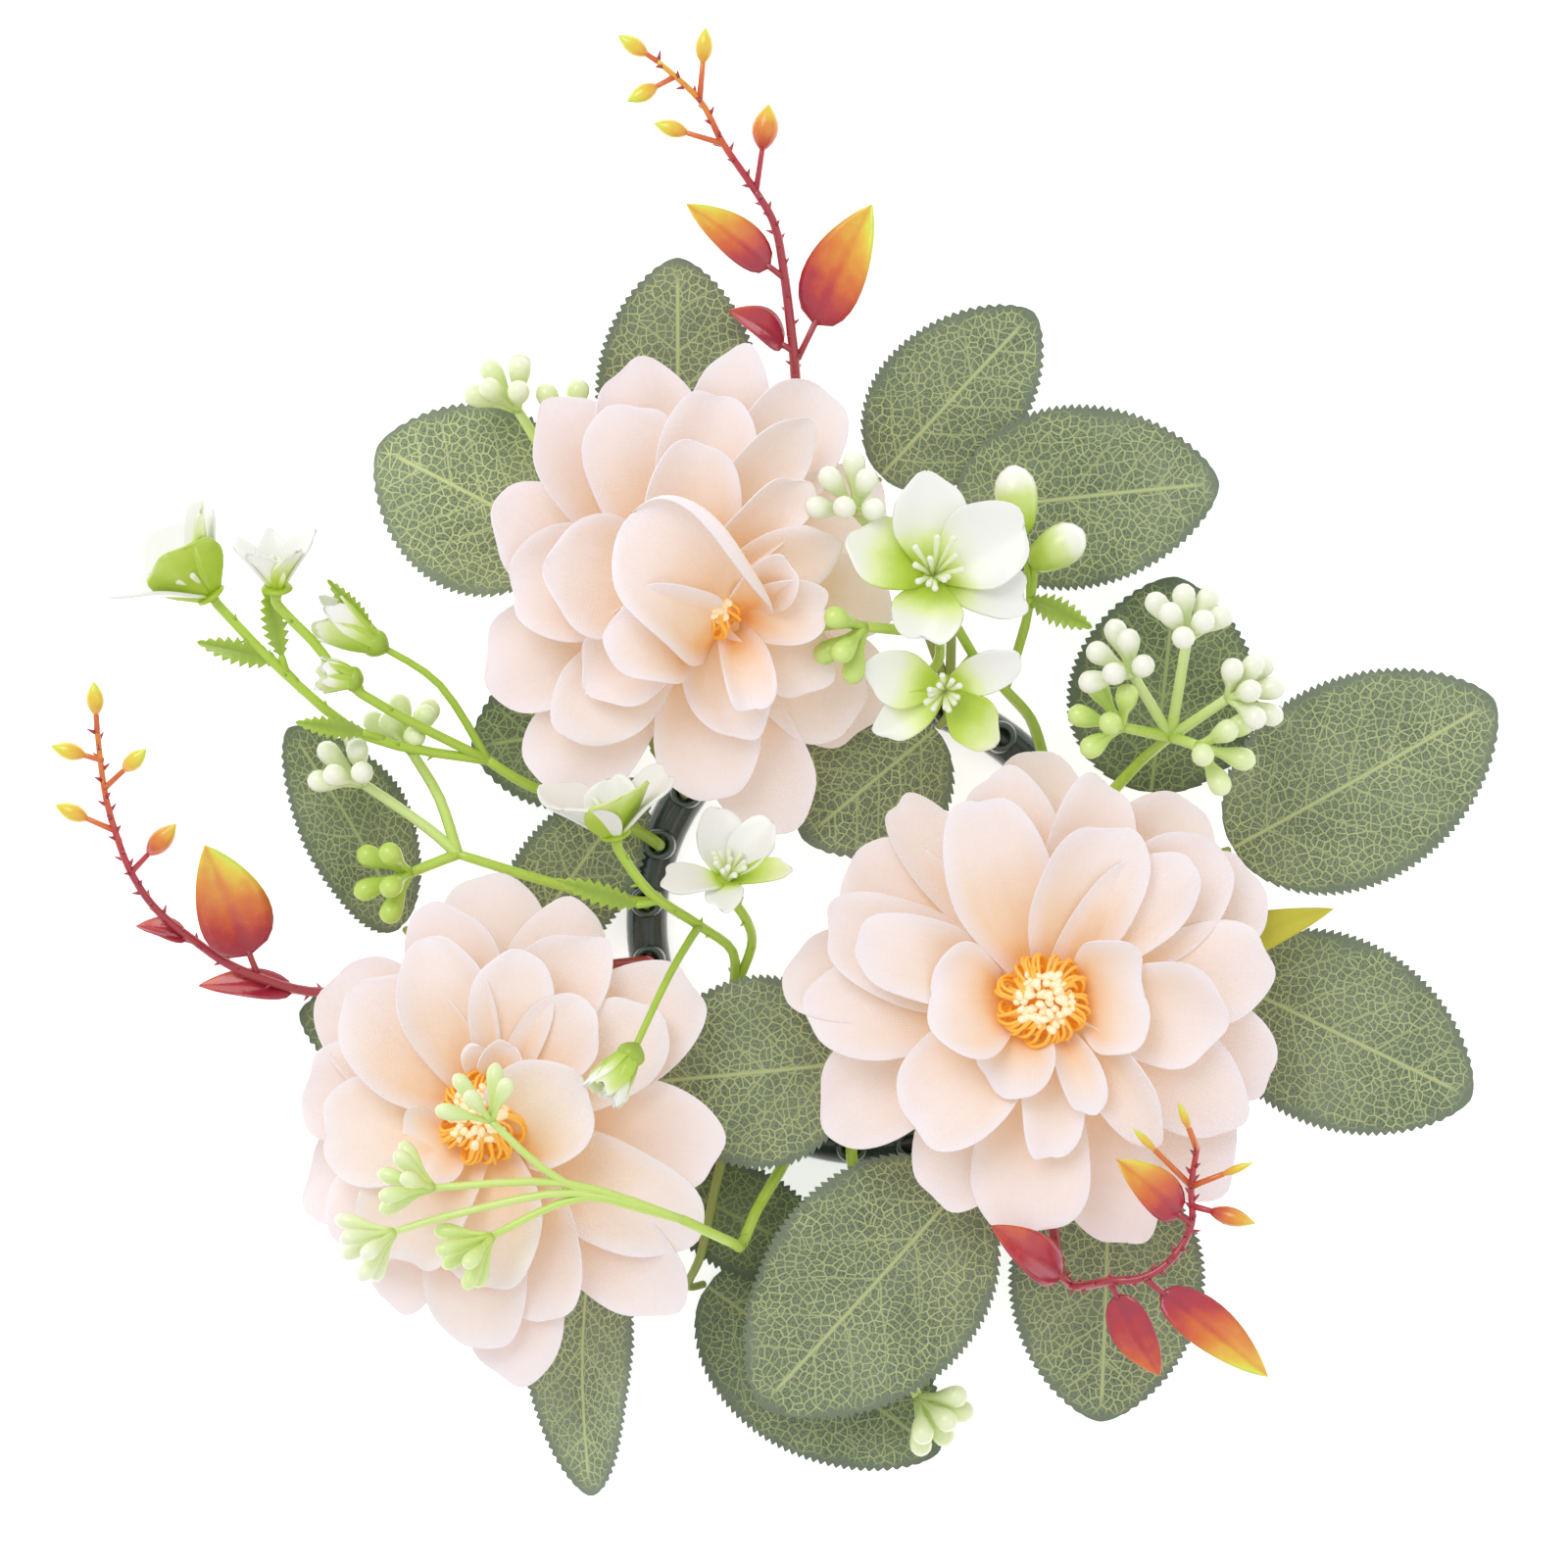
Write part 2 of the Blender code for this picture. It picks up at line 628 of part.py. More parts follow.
def make_bloom(spec, looks, root):
    name, socket, way, hub, lean_to, lean, size = spec
    axis = bloom_axis(lean_to, lean)
    hub = Vector(hub)
    frame = facing_frame(hub, axis)
    path = stem_path(socket, list(way) + [hub - axis * (CALYX_DROP + 5), hub - axis * (CALYX_DROP - 1)], 2)
    stem = tube(path, [PIN_R] + taper(len(path) - 1, PIN_R, 1.7), 8)
    calyx = lathe(
        ((1.8, -CALYX_DROP), (4.5, -CALYX_DROP + 1.5), (CALYX_R, -1.2), (CALYX_R, -0.4), (PEG_R, -0.35), (PEG_R, PEG_TOP)),
        10,
    )
    body = add_object(f"{name}_stem", *stem, looks["stem"], parent=root)
    solids = [placed(calyx, frame)]
    if name == SEPAL[0]:
        solids.append(blade(*SEPAL[1:], 0.8, 0.5, 0.5, 0))
    combine(body, solids, looks["stem"], "UNION", "calyx")
    head = bpy.data.objects.new(f"{name}_head_axis", None)
    head.matrix_world = Matrix.Translation(hub * MM) @ frame.to_3x3().to_4x4()
    bpy.context.scene.collection.objects.link(head)
    head.parent = root
    for layer, lobes, radius, foot, rise, power, hump, turn in PETAL_LAYERS:
        solid = rosette(lobes, radius * size, foot, rise, power, hump, turn, HUB_HOLE_R, PETAL_THICK)
        make_head_piece(f"{name}_{layer}", solid, frame, head, looks[layer])
    make_head_piece(f"{name}_stamens", stamens(), frame, head, looks["stamens"])


def make_head_piece(name, solid, frame, head, material):
    """A piece that turns with the bloom's head: its origin is the hub and its Z the turning axis."""
    verts, faces = solid
    obj = add_object(name, verts, faces, material)
    obj.matrix_world = Matrix.Identity(4)
    obj.parent = head
    return obj


def stamens():
    """A fluted basket of stamens on a short cap."""
    steps = STAMEN_LOBES * 3
    profile = (
        (3.2, 0.0, 0.0), (3.6, 1.5, 0.0), (6.4, 0.62 * STAMEN_HEIGHT, 0.10), (8.6, STAMEN_HEIGHT, 0.16),
        (5.6, STAMEN_HEIGHT * 0.96, 0.14), (2.6, STAMEN_HEIGHT * 0.55, 0.0),
    )
    verts = []
    faces = []
    for r, z, flute in profile:
        for k in range(steps):
            angle = 2 * math.pi * k / steps
            wave = 1 + flute * math.cos(STAMEN_LOBES * angle)
            verts.append(Vector((r * wave * math.cos(angle), r * wave * math.sin(angle), STAMEN_FOOT + z)))
    faces.append(tuple(reversed(range(steps))))
    for i in range(len(profile) - 1):
        for k in range(steps):
            a = i * steps + k
            b = i * steps + (k + 1) % steps
            faces.append((a, b, b + steps, a + steps))
    last = (len(profile) - 1) * steps
    faces.append(tuple(range(last, last + steps)))
    return verts, faces


def make_leaf(spec, looks, root):
    name, base, tip, width, arch, fold, roll = spec
    solid = blade(base, tip, width, LEAF_THICK, arch, fold, roll)
    return add_object(name, *solid, looks["leaf"], parent=root)


def leaf_ends():
    """Where each leaf's branch stops: just short of the leaf's base, on its mid-plane."""
    ends = {}
    for name, base, tip, _width, _arch, _fold, _roll in LEAVES:
        a = Vector(base)
        along = (Vector(tip) - a).normalized()
        ends[name] = a - along * (LEAF_GAP + 0.6) - UP * LEAF_THICK * 0.5
    return ends


def make_leaf_pick(spec, looks, root):
    name, socket, trunk, branches = spec
    ends = leaf_ends()
    path = stem_path(socket, trunk, 2)
    body = add_object(name, *tube(path, [PIN_R] * len(path)), looks["leaf_stem"], parent=root)
    solids = []
    for leaf, way in branches:
        points = smooth_path([path[-1] - (path[-1] - path[-2]) * 0.5] + [Vector(p) for p in way] + [ends[leaf]], 2)
        solids.append(tube(points, taper(len(points), STEM_R, 0.9), 5))
    combine(body, solids, looks["leaf_stem"], "UNION", "branches")


def make_sprig(spec, looks, root):
    name, socket, way, leaves, buds = spec
    path = stem_path(socket, way)
    body = add_object(name, *tube(path, [PIN_R] + taper(len(path) - 1, PIN_R, 0.7)), looks["sprig"], parent=root)
    solids = []
    for base, tip, width, roll in leaves:
        a = Vector(base)
        b = Vector(tip)
        start = a.lerp(b, 0.18)
        solids.append(tube([a, start.lerp(b, 0.12)], [0.8, 0.8], 5))
        solids.append(blade(start, b, width, 1.0, 1.0, 1.0, roll, 5, 0.8))
    for foot, middle in buds:
        a = Vector(foot)
        c = Vector(middle)
        out = (c - a).normalized()
        solids.append(tube([a, c - out * 3.4, c - out * 0.6, c + out * 3.6], [0.6, 0.6, 1.9, 0.4], 5))
    combine(body, solids, looks["sprig"], "UNION", "leaves_and_buds")


def berry_fan(hub, heading, count, reach=8.0):
    """Short stalks with a berry each, spread round the heading."""
    solids = []
    ahead = Vector(heading).normalized()
    side = ahead.cross(Vector((0.3, 0.2, 1.0))).normalized()
    other = ahead.cross(side)
    for k in range(count):
        angle = 2 * math.pi * k / count + 0.4
        spread = 0.85 if k % 2 else 0.6
        way = (ahead + (side * math.cos(angle) + other * math.sin(angle)) * spread).normalized()
        foot = Vector(hub) - way * 0.3
        neck = Vector(hub) + way * (reach - 3.0)
        belly = Vector(hub) + way * (reach + 1.6)
        end = Vector(hub) + way * (reach + 4.0)
        solids.append(tube([foot, neck, belly, end], [0.75, 0.7, BERRY_R, 0.9], 5))
    return solids


def make_berry_spray(spec, looks, root):
    name, socket, trunk, hubs = spec
    path = stem_path(socket, trunk)
    body = add_object(name, *tube(path, [PIN_R] + taper(len(path) - 1, PIN_R, 1.1)), looks["berry"], parent=root)
    solids = []
    for way, hub, heading, count in hubs:
        start = path[-1] - (path[-1] - path[-2]) * 0.15
        points = [start] + [Vector(p) for p in way] + [Vector(hub)]
        solids.append(tube(points, taper(len(points), 1.1, 1.0)))
        solids += berry_fan(hub, heading, count)
    combine(body, solids, looks["berry"], "UNION", "berries")


def make_blossom_spray(spec, looks, root):
    name, socket, trunk, heads, bracts = spec
    path = stem_path(socket, trunk)
    body = add_object(name, *tube(path, [PIN_R] + taper(len(path) - 1, PIN_R, 1.1)), looks["blossom_stem"], parent=root)
    solids = []
    for head, way, foot, facing, radius, cup in heads:
        ahead = Vector(facing).normalized()
        points = [path[-1] - (path[-1] - path[-2]) * 0.15] + [Vector(p) for p in way]
        points += [Vector(foot) - ahead * 3.0, Vector(foot) - ahead * 0.35]
        solids.append(tube(points, taper(len(points), 1.1, 1.2)))
        shape = placed(filled_rosette(5, radius, cup, 1.0), facing_frame(foot, ahead))
        add_object(head, *shape, looks["blossom"], parent=root)
    for stalk, tip, radius in bracts:
        solids.append(tube(stalk, taper(len(stalk), 1.0, 0.8), 5))
        end = Vector(stalk[-1])
        solids.append(drop(end - (Vector(tip) - end).normalized() * 1.5, tip, radius, 6))
    combine(body, solids, looks["blossom_stem"], "UNION", "branches")


def looks_table():
    return {
        "ring": plastic("ring_plastic", (0.030, 0.045, 0.038), 0.35),
        "stem": plastic("bloom_stem_plastic", (0.30, 0.36, 0.06), 0.5),
        "petals_outer": plastic("petal_fabric_outer", (0.90, 0.80, 0.74), 0.85),
        "petals_middle": plastic("petal_fabric_middle", (0.92, 0.78, 0.68), 0.85),
        "petals_inner": plastic("petal_fabric_inner", (0.93, 0.75, 0.62), 0.85),
        "petals_heart": plastic("petal_fabric_heart", (0.93, 0.71, 0.55), 0.85),
        "stamens": plastic("stamen_plastic", (0.93, 0.58, 0.12), 0.5),
        "leaf": plastic("leaf_fabric", (0.16, 0.23, 0.16), 0.8),
        "leaf_stem": plastic("leaf_stem_plastic", (0.28, 0.33, 0.10), 0.5),
        "sprig": plastic("sprig_plastic", (0.50, 0.07, 0.04), 0.4),
        "berry": plastic("berry_plastic", (0.60, 0.75, 0.25), 0.4),
        "blossom": plastic("blossom_plastic", (0.88, 0.90, 0.80), 0.4),
        "blossom_stem": plastic("blossom_stem_plastic", (0.42, 0.60, 0.08), 0.45),
    }


def settle(root):
    """Puts the frame's origin under the middle of the crown, on the plane that it lies on."""
    bpy.context.view_layer.update()
    graph = bpy.context.evaluated_depsgraph_get()
    low = Vector((1e9, 1e9, 1e9))
    high = -low
    for obj in bpy.context.view_layer.objects:
        if obj.type != "MESH" or obj.hide_render:
            continue
        done = obj.evaluated_get(graph)
        mesh = done.to_mesh()
        for vertex in mesh.vertices:
            spot = done.matrix_world @ vertex.co
            low = Vector(map(min, low, spot))
            high = Vector(map(max, high, spot))
        done.to_mesh_clear()
    middle = (low + high) / 2
    root.location = (-middle.x, -middle.y, -low.z)
    for group in bpy.context.scene.collection.children:
        for obj in group.objects:
            obj.location = root.location


def main():
    clear_scene()
    root = bpy.data.objects.new("crown", None)
    bpy.context.scene.collection.objects.link(root)
    looks = looks_table()
    make_ring(looks["ring"], root)
    for spec in BLOOMS:
        make_bloom(spec, looks, root)
    for spec in LEAVES:
        make_leaf(spec, looks, root)
    for spec in LEAF_PICKS:
        make_leaf_pick(spec, looks, root)
    for spec in SPRIGS:
        make_sprig(spec, looks, root)
    for spec in BERRY_SPRAYS:
        make_berry_spray(spec, looks, root)
    for spec in BLOSSOM_SPRAYS:
        make_blossom_spray(spec, looks, root)
    settle(root)


main()
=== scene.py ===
"""Looks for the flower crown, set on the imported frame.

Fabric petals and leaves, moulded sprigs, berries and blossoms.
"""

import math

import bpy
import numpy as np
from mathutils import Matrix, Vector


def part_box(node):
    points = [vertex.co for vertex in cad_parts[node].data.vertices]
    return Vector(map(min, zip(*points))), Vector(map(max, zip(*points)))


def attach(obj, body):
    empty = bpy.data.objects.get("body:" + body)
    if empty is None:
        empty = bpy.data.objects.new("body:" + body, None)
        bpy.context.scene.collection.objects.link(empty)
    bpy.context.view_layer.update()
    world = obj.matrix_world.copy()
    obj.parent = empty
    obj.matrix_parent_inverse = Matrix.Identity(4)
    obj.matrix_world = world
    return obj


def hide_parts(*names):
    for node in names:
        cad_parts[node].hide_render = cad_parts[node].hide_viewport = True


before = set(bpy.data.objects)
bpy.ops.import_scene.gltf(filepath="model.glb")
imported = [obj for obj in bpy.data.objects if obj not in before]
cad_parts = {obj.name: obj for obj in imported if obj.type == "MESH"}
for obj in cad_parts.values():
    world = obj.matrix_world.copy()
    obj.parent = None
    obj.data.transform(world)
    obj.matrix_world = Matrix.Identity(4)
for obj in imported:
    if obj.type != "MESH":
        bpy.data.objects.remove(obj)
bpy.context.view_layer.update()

MM = 0.001
UP = Vector((0.0, 0.0, 1.0))
RING_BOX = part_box("ring_base")
RING_CENTRE = Vector(((RING_BOX[0].x + RING_BOX[1].x) / 2, (RING_BOX[0].y + RING_BOX[1].y) / 2, RING_BOX[0].z))

# The crown's layout, in millimetres from the ring's centre, as in the CAD model
SOCKET_CIRCLE, SOCKET_TOP, SOCKET_COUNT = 49.1, 11.5, 24
PIN_FLOOR, PIN_R = 3.4, 1.4
CLOTH_THICK = 0.3
# Name, socket, stem, hub, which way it leans and by how many degrees
BLOOMS = (
    ("bloom_top", 7, ((-26, 50, 16),), (-41, 70, 31), (0.97, -0.24), 15.0),
    ("bloom_right", 21, ((39, -24, 17),), (35, -16, 31), (0.20, 0.98), 3.0),
    ("bloom_left", 13, ((-56, -28, 14),), (-79, -42, 31), (-0.80, 0.60), 13.0),
)
# Name, base, tip, width, arch, fold, roll
LEAVES = (
    ("leaf_top_upright", (-42, 92, 9), (-42, 144, 15), 36, 3.0, 1.5, 0),
    ("leaf_top_left", (-66, 82, 13), (-107, 103, 16), 42, 3.0, 1.5, 0),
    ("leaf_under_top_bloom", (-54, 43, 9), (-87, 38, 11), 33, 2.0, 1.0, 0),
    ("leaf_between_blooms", (-78, -8, 6), (-50, 31, 9), 26, 1.0, 1.0, 0),
    ("leaf_top_right", (2, 97, 9), (35, 132, 17), 33, 3.0, 1.5, 0),
    ("leaf_upper_right", (18, 89, 15), (75, 95, 18), 40, 4.0, 1.5, 0),
    ("leaf_over_ring", (14, 42, 15), (-15, 18, 17), 34, 1.0, 1.0, 0),
    ("leaf_right_large", (78, 16, 15), (134, 48, 21), 45, 4.0, 1.5, 0),
    ("leaf_behind_berries", (61, 28, 8), (66, 75, 13), 42, 3.0, 1.5, 0),
    ("leaf_right_lower", (76, -12, 9), (130, -38, 14), 42, 4.0, 1.5, 0),
    ("leaf_bottom_right", (52, -53, 7), (50, -109, 9), 43, 3.0, 1.5, 0),
    ("leaf_bottom_front", (21, -55, 17), (-24, -104, 21), 48, 4.0, 1.5, 0),
    ("leaf_bottom_behind", (-36, -80, 3), (15, -116, 5), 40, 1.0, 1.0, 0),
    ("leaf_lower_ring", (-44, -57, 8), (-8, -75, 8.5), 24, 1.0, 1.0, 0),
    ("leaf_inside_ring", (-4, -30, 20), (-50, -34, 26), 42, 2.0, 1.0, 0),
    ("leaf_far_left", (-102, -1, 8), (-126, 42, 22), 30, 3.0, 1.5, 42),
    ("leaf_left_tip", (-90, -28, 4), (-125, -20, 6), 24, 1.0, 1.0, 0),
    ("leaf_bottom_left", (-61, -68, 11), (-61, -124, 16), 32, 3.0, 1.5, 40),
)
# How light a leaf is, and the leaves that differ from it
LEAF_LIGHT = 0.94
LEAF_TONE = {"leaf_top_left": 1.22, "leaf_left_tip": 1.06, "leaf_bottom_left": 1.0, "leaf_right_large": 0.98}
# Leaves that get the darker copy of the leaf cloth: painted shade for leaves lying under the blooms, berries
# and sprigs
SHADED_LEAVES = ("leaf_behind_berries", "leaf_lower_ring", "leaf_under_top_bloom", "leaf_left_tip")
# Name, socket, trunk, branches (leaf, way)
LEAF_PICKS = (
    ("leaf_pick_top_left", 9, ((-42, 31, 13.5), (-47, 38, 13.5)), (
        ("leaf_top_upright", ((-52, 54, 10), (-50, 76, 8.5), (-44, 88, 8.5))),
        ("leaf_top_left", ((-55, 58, 11), (-61, 70, 12))),
        ("leaf_under_top_bloom", ((-50, 43, 10.5),)))),
    ("leaf_pick_top_right", 4, ((17, 50, 14.5),), (
        ("leaf_top_right", ((11, 66, 12), (4, 84, 9.5), (1, 93, 8.7))),
        ("leaf_upper_right", ((17, 70, 15), (14, 84, 15))),
        ("leaf_over_ring", ((16.5, 45, 15.5),)))),
    ("leaf_pick_right", 0, ((52, 10, 14),), (
        ("leaf_right_large", ((64, 12, 14),)),
        ("leaf_behind_berries", ((57, 19, 10),)),
        ("leaf_right_lower", ((62, -2, 11), (71, -9, 9))))),
    ("leaf_pick_bottom_right", 19, ((21, -48, 14.5),), (
        ("leaf_bottom_right", ((30, -51, 11), (46, -48, 7.6))),
        ("leaf_bottom_front", ((22, -51, 16.5),)),
        ("leaf_inside_ring", ((14, -40, 17), (2, -31, 19.5))))),
    ("leaf_pick_bottom_left", 15, ((-31, -45, 14),), (
        ("leaf_bottom_behind", ((-34, -58, 13), (-37, -72, 12.2), (-40, -79.5, 6))),
        ("leaf_lower_ring", ((-40, -50, 11), (-48, -54, 8.4))),
        ("leaf_bottom_left", ((-44, -55, 12), (-57, -63, 10.5))),
        ("leaf_left_tip", ((-44, -47, 11), (-62, -38, 6), (-80, -30, 4.2))),
        ("leaf_between_blooms", ((-44, -47, 11), (-62, -38, 6), (-76, -24, 5), (-80, -13, 5.6))),
        ("leaf_far_left", ((-44, -47, 11), (-62, -38, 6), (-76, -24, 5), (-93, -12, 7.0))))),
)
# Name, socket, stem, leaves (base, tip, width, roll), buds (foot, middle)
SPRIGS = (
    ("red_sprig_top", 6,
     ((-9, 54, 14.5), (-12, 90, 13.5), (-16, 114, 14), (-17, 124, 17), (-19, 140, 20), (-21, 150, 22),
      (-25, 157, 24), (-32, 167, 26), (-37, 176, 28), (-46, 184, 30)),
     (((-19, 139, 20), (-40, 154, 26), 10, 15), ((-16, 122, 16), (0, 154, 26), 15, -15),
      ((-17, 123.5, 17), (-31, 131.5, 22), 10, 40)),
     (((-46, 184, 30), (-51, 187, 32)), ((-42, 181, 29), (-49, 177, 31)), ((-37, 176, 28), (-36, 187, 31)),
      ((-32, 167, 26), (-43, 170, 28)), ((-25, 157, 24), (-23, 170, 28)))),
    ("red_sprig_left", 12,
     ((-54, -9, 14), (-80, -12, 12.5), (-105, -14, 12), (-122, -15, 13), (-137, -10, 16), (-146, -4, 18),
      (-154, 3, 21), (-159, 11, 24), (-162, 20, 27), (-164, 29, 29), (-165, 41, 32)),
     (((-133, -11, 15), (-143, 17, 26), 17, 15), ((-122, -15, 13), (-146, -14, 12), 8, 35),
      ((-146, -4, 18), (-159, -1, 16), 6, 40)),
     (((-164, 35, 30.4), (-171, 37, 32)), ((-164, 29, 29), (-157, 35, 33)), ((-162, 20, 27), (-171, 24, 28)),
      ((-159, 11, 24), (-152, 18, 28)), ((-165, 41, 32), (-165, 48, 35)))),
    ("red_sprig_lower_right", 20,
     ((34, -46, 15), (38, -60, 18), (40, -73, 25), (42, -76, 38), (49, -74, 47), (56, -73, 49), (62, -69, 49),
      (66, -62, 49), (66, -54, 49), (67, -46, 51)),
     (((42, -76, 38), (24, -62, 50), 10, 20), ((49, -74, 47), (60, -94, 43), 10, 20),
      ((56, -73, 49), (82, -94, 47), 11, -20), ((66, -62, 49), (50, -48, 54), 10, 20)),
     (((66, -58, 49), (74, -60, 52)), ((66, -54, 49), (56, -44, 54)), ((67, -46, 51), (64, -39, 55)),
      ((66, -54, 49), (75, -50, 53)))),
)
# For each sprig: how yellow its stem and its leaves end, which bud is ripe,
# and the radius of that bud and of the others
SPRIG_TONES = (0.80, 0.60, 0.34)
SPRIG_LEAF_TONES = ((0.97, 0.97, 0.36), (0.97, 0.4, 0.4), (0.42, 0.5, 0.97, 0.9))
RIPE_BUDS = (4, 3, 0)
BUD_RADII = ((2.9, 1.9), (2.4, 1.9), (2.0, 0.9))
# Name, socket, trunk, then hubs (way, hub, heading, berries, how pale their ends are)
BERRY_SPRAYS = (
    ("berry_spray_top_left", 8, ((-35, 45, 15), (-52, 72, 19), (-66, 94, 22)),
     (((), (-76, 110, 26), (-0.35, 0.7, 0.5), 4, 0.72), ((), (-66, 105, 25), (0.35, 0.7, 0.5), 3, 0.66))),
    ("berry_spray_right", 1, ((48, 24, 15), (57, 34, 19), (61, 38, 27), (63, 40, 34)),
     (((), (65, 60, 50), (0.0, 0.7, 0.7), 5, 1.0), ((), (54, 53, 46), (-0.5, 0.4, 0.7), 4, 1.0),
      ((), (74, 48, 46), (0.7, 0.3, 0.65), 5, 0.95), ((), (52, 42, 42), (-0.6, 0.3, 0.7), 3, 0.35),
      ((), (68, 38, 44), (0.7, -0.1, 0.7), 3, 0.6))),
    ("berry_spray_centre", 5, ((8, 50, 15), (14, 56, 22), (14, 62, 33)),
     (((), (-2, 63, 44.5), (-0.75, -0.45, 0.35), 3, 0.30),
      (((4, 78, 42),), (-4, 87, 46), (-0.2, 0.45, 0.8), 4, 0.92))),
    ("berry_spray_left", 11, ((-54, 5, 15), (-70, 9, 20), (-89, 15, 24)),
     ((((-93, 27, 23),), (-99, 37, 23), (-0.1, 0.8, 0.45), 4, 0.62),
      (((-96, 21, 24),), (-109, 30, 26), (-0.5, 0.6, 0.6), 4, 0.9),
      ((), (-99, 11, 26), (-0.7, -0.2, 0.6), 3, 0.15))),
    ("berry_spray_over_left_bloom", 16,
     ((-19, -52, 15), (-25, -62, 20), (-28, -68, 32), (-30, -66, 46), (-40, -60, 58)),
     ((((-64, -52, 63),), (-91, -53, 63), (-0.9, 0.3, 0.3), 4, 0.62),
      (((-64, -52, 63),), (-79, -39, 66), (-0.4, 0.8, 0.4), 3, 0.62),
      (((-60, -55, 62),), (-79, -63, 61), (-0.8, -0.6, 0.2), 4, 0.5),
      (((-62, -54, 62.5), (-85, -58, 63)), (-99, -62, 63), (-0.9, -0.5, 0.2), 4, 0.8))),
    ("berry_spray_bottom", 17, ((-4, -53, 14.5), (0, -76, 13.5), (7, -96, 13.5)),
     (((), (10, -103, 14), (0.7, -0.6, 0.3), 5, 0.7),)),
)
# Name, socket, trunk, heads (name, way, foot, facing), then buds, tufts and bracts (kind, stalk, tip, radius)
BLOSSOM_SPRAYS = (
    ("blossom_stem_right", 2, ((37, 36, 15), (34, 44, 22), (28, 50, 33), (21, 57, 40)),
     (("blossom_right_upper", (), (12, 73, 48), (0.1, 0.2, 0.97)),
      ("blossom_right_lower", (), (15, 50, 42), (-0.1, -0.2, 0.97))),
     (("bract", ((28, 50, 33), (31, 60, 36), (33, 69, 38)), (46, 63, 39), 3.0),
      ("bud", ((28, 50, 33), (33, 68, 37), (31, 84, 39)), (29, 97, 41), 4.5),
      ("bud", ((28, 50, 33), (33, 68, 37), (34, 77, 39)), (44, 83, 42), 4.5))),
    ("blossom_stem_centre", 14, ((-36, -25, 15), (-30, -15, 17.5)),
     (("blossom_centre_left", ((-30, -6, 23), (-37, 0, 34), (-47, 7, 42)), (-54, 18.5, 47), (-0.2, 0.88, 0.42)),
      ("blossom_centre_right", ((-26, -5, 22), (-27, 1, 30)), (-31, 9, 38), (0.0, 0.7, 0.7))),
     (("tuft", ((-37, 0, 34), (-43, -10, 50), (-50, -25, 58)), (-57, -35, 61), 5.6),
      ("bract", ((-45, 5.5, 40.5), (-50, 4.5, 42)), (-67, 10, 46), 2.6))),
    ("blossom_stem_left", 10, ((-51, 20, 16), (-64, 26, 24), (-74, 30, 29), (-82, 35, 31)),
     (("blossom_left_outer", ((-107, 40, 35), (-124, 53, 38)), (-139, 69, 41), (-0.5, 0.7, 0.4)),
      ("blossom_left_inner", ((-108, 49, 40), (-118, 60, 43)), (-125, 70, 47), (0.0, 0.85, 0.5))),
     (("tuft", ((-82, 35, 31), (-92, 51, 34), (-104, 59, 38)), (-117, 66, 42), 5.6),
      ("tuft", ((-108, 49, 40), (-109, 52, 41)), (-118, 53.5, 43), 5.0),
      ("bract", ((-124, 53, 38), (-125, 57, 39)), (-128, 73, 41), 2.6),
      ("bract", ((-104, 59, 38), (-106, 63, 40)), (-115, 73, 42), 1.8),
      ("bract", ((-122, 51.5, 37.8), (-126, 56, 38)), (-143, 60, 38), 2.8),
      ("bract", ((-104, 39.5, 34.6), (-108, 41, 37)), (-122, 43, 40), 2.4))),
)
# Each blossom's petals: angle, length, width, opening from its axis, and how far its green reaches
HEAD_PETALS = {
    "blossom_right_upper": ((160, 19, 17, 72, 0.92), (95, 20.5, 18, 70, 0.62), (28, 21.5, 20, 70, 0.45),
                            (-14, 20.5, 13, 82, 0.6), (-102, 15, 16, 80, 0.8)),
    "blossom_right_lower": ((164, 17, 13, 76, 0.75), (26, 17.5, 10, 72, 0.6), (-148, 16, 10, 80, 0.85),
                            (-46, 15, 12, 78, 1.0)),
    "blossom_centre_left": ((-128, 17, 17, 40, 0.15), (-58, 18, 17, 36, 1.15), (15, 18, 15, 50, 0.3),
                            (90, 12, 13, 26, 0.2), (165, 18, 16, 50, 0.15)),
    "blossom_centre_right": ((-160, 15, 11, 70, 0.4), (-20, 16.5, 7, 55, 0.95), (40, 15, 11, 50, 0.3),
                             (100, 15, 12, 50, 0.3), (-95, 10, 9, 78, 0.5)),
    "blossom_left_outer": ((-62, 18, 19, 26, 1.4), (5, 23, 10, 26, 0.95), (-150, 21, 17, 50, 0.1),
                           (60, 21, 12, 30, 0.2), (130, 21, 17, 48, 0.1)),
    "blossom_left_inner": ((-125, 13, 10, 26, 0.6), (-50, 14.5, 8, 30, 0.9), (20, 14, 9, 30, 0.4),
                           (100, 12, 8, 34, 0.2), (170, 14, 9, 36, 0.3)),
}
# Height of each layer's foot above the hub, where petals start from the axis, and the room for the stamens
PETAL_FEET = (0.4, 4.2, 7.8, 11.3)
PETAL_START, STAMEN_CLEARANCE, STAMEN_FOOT = 2.6, 5.2, 12.9
# The small olive blade beside the right bloom: base, tip, width
SEPAL = ((40, -14.5, 27.7), (99, 3.2, 22), 14)

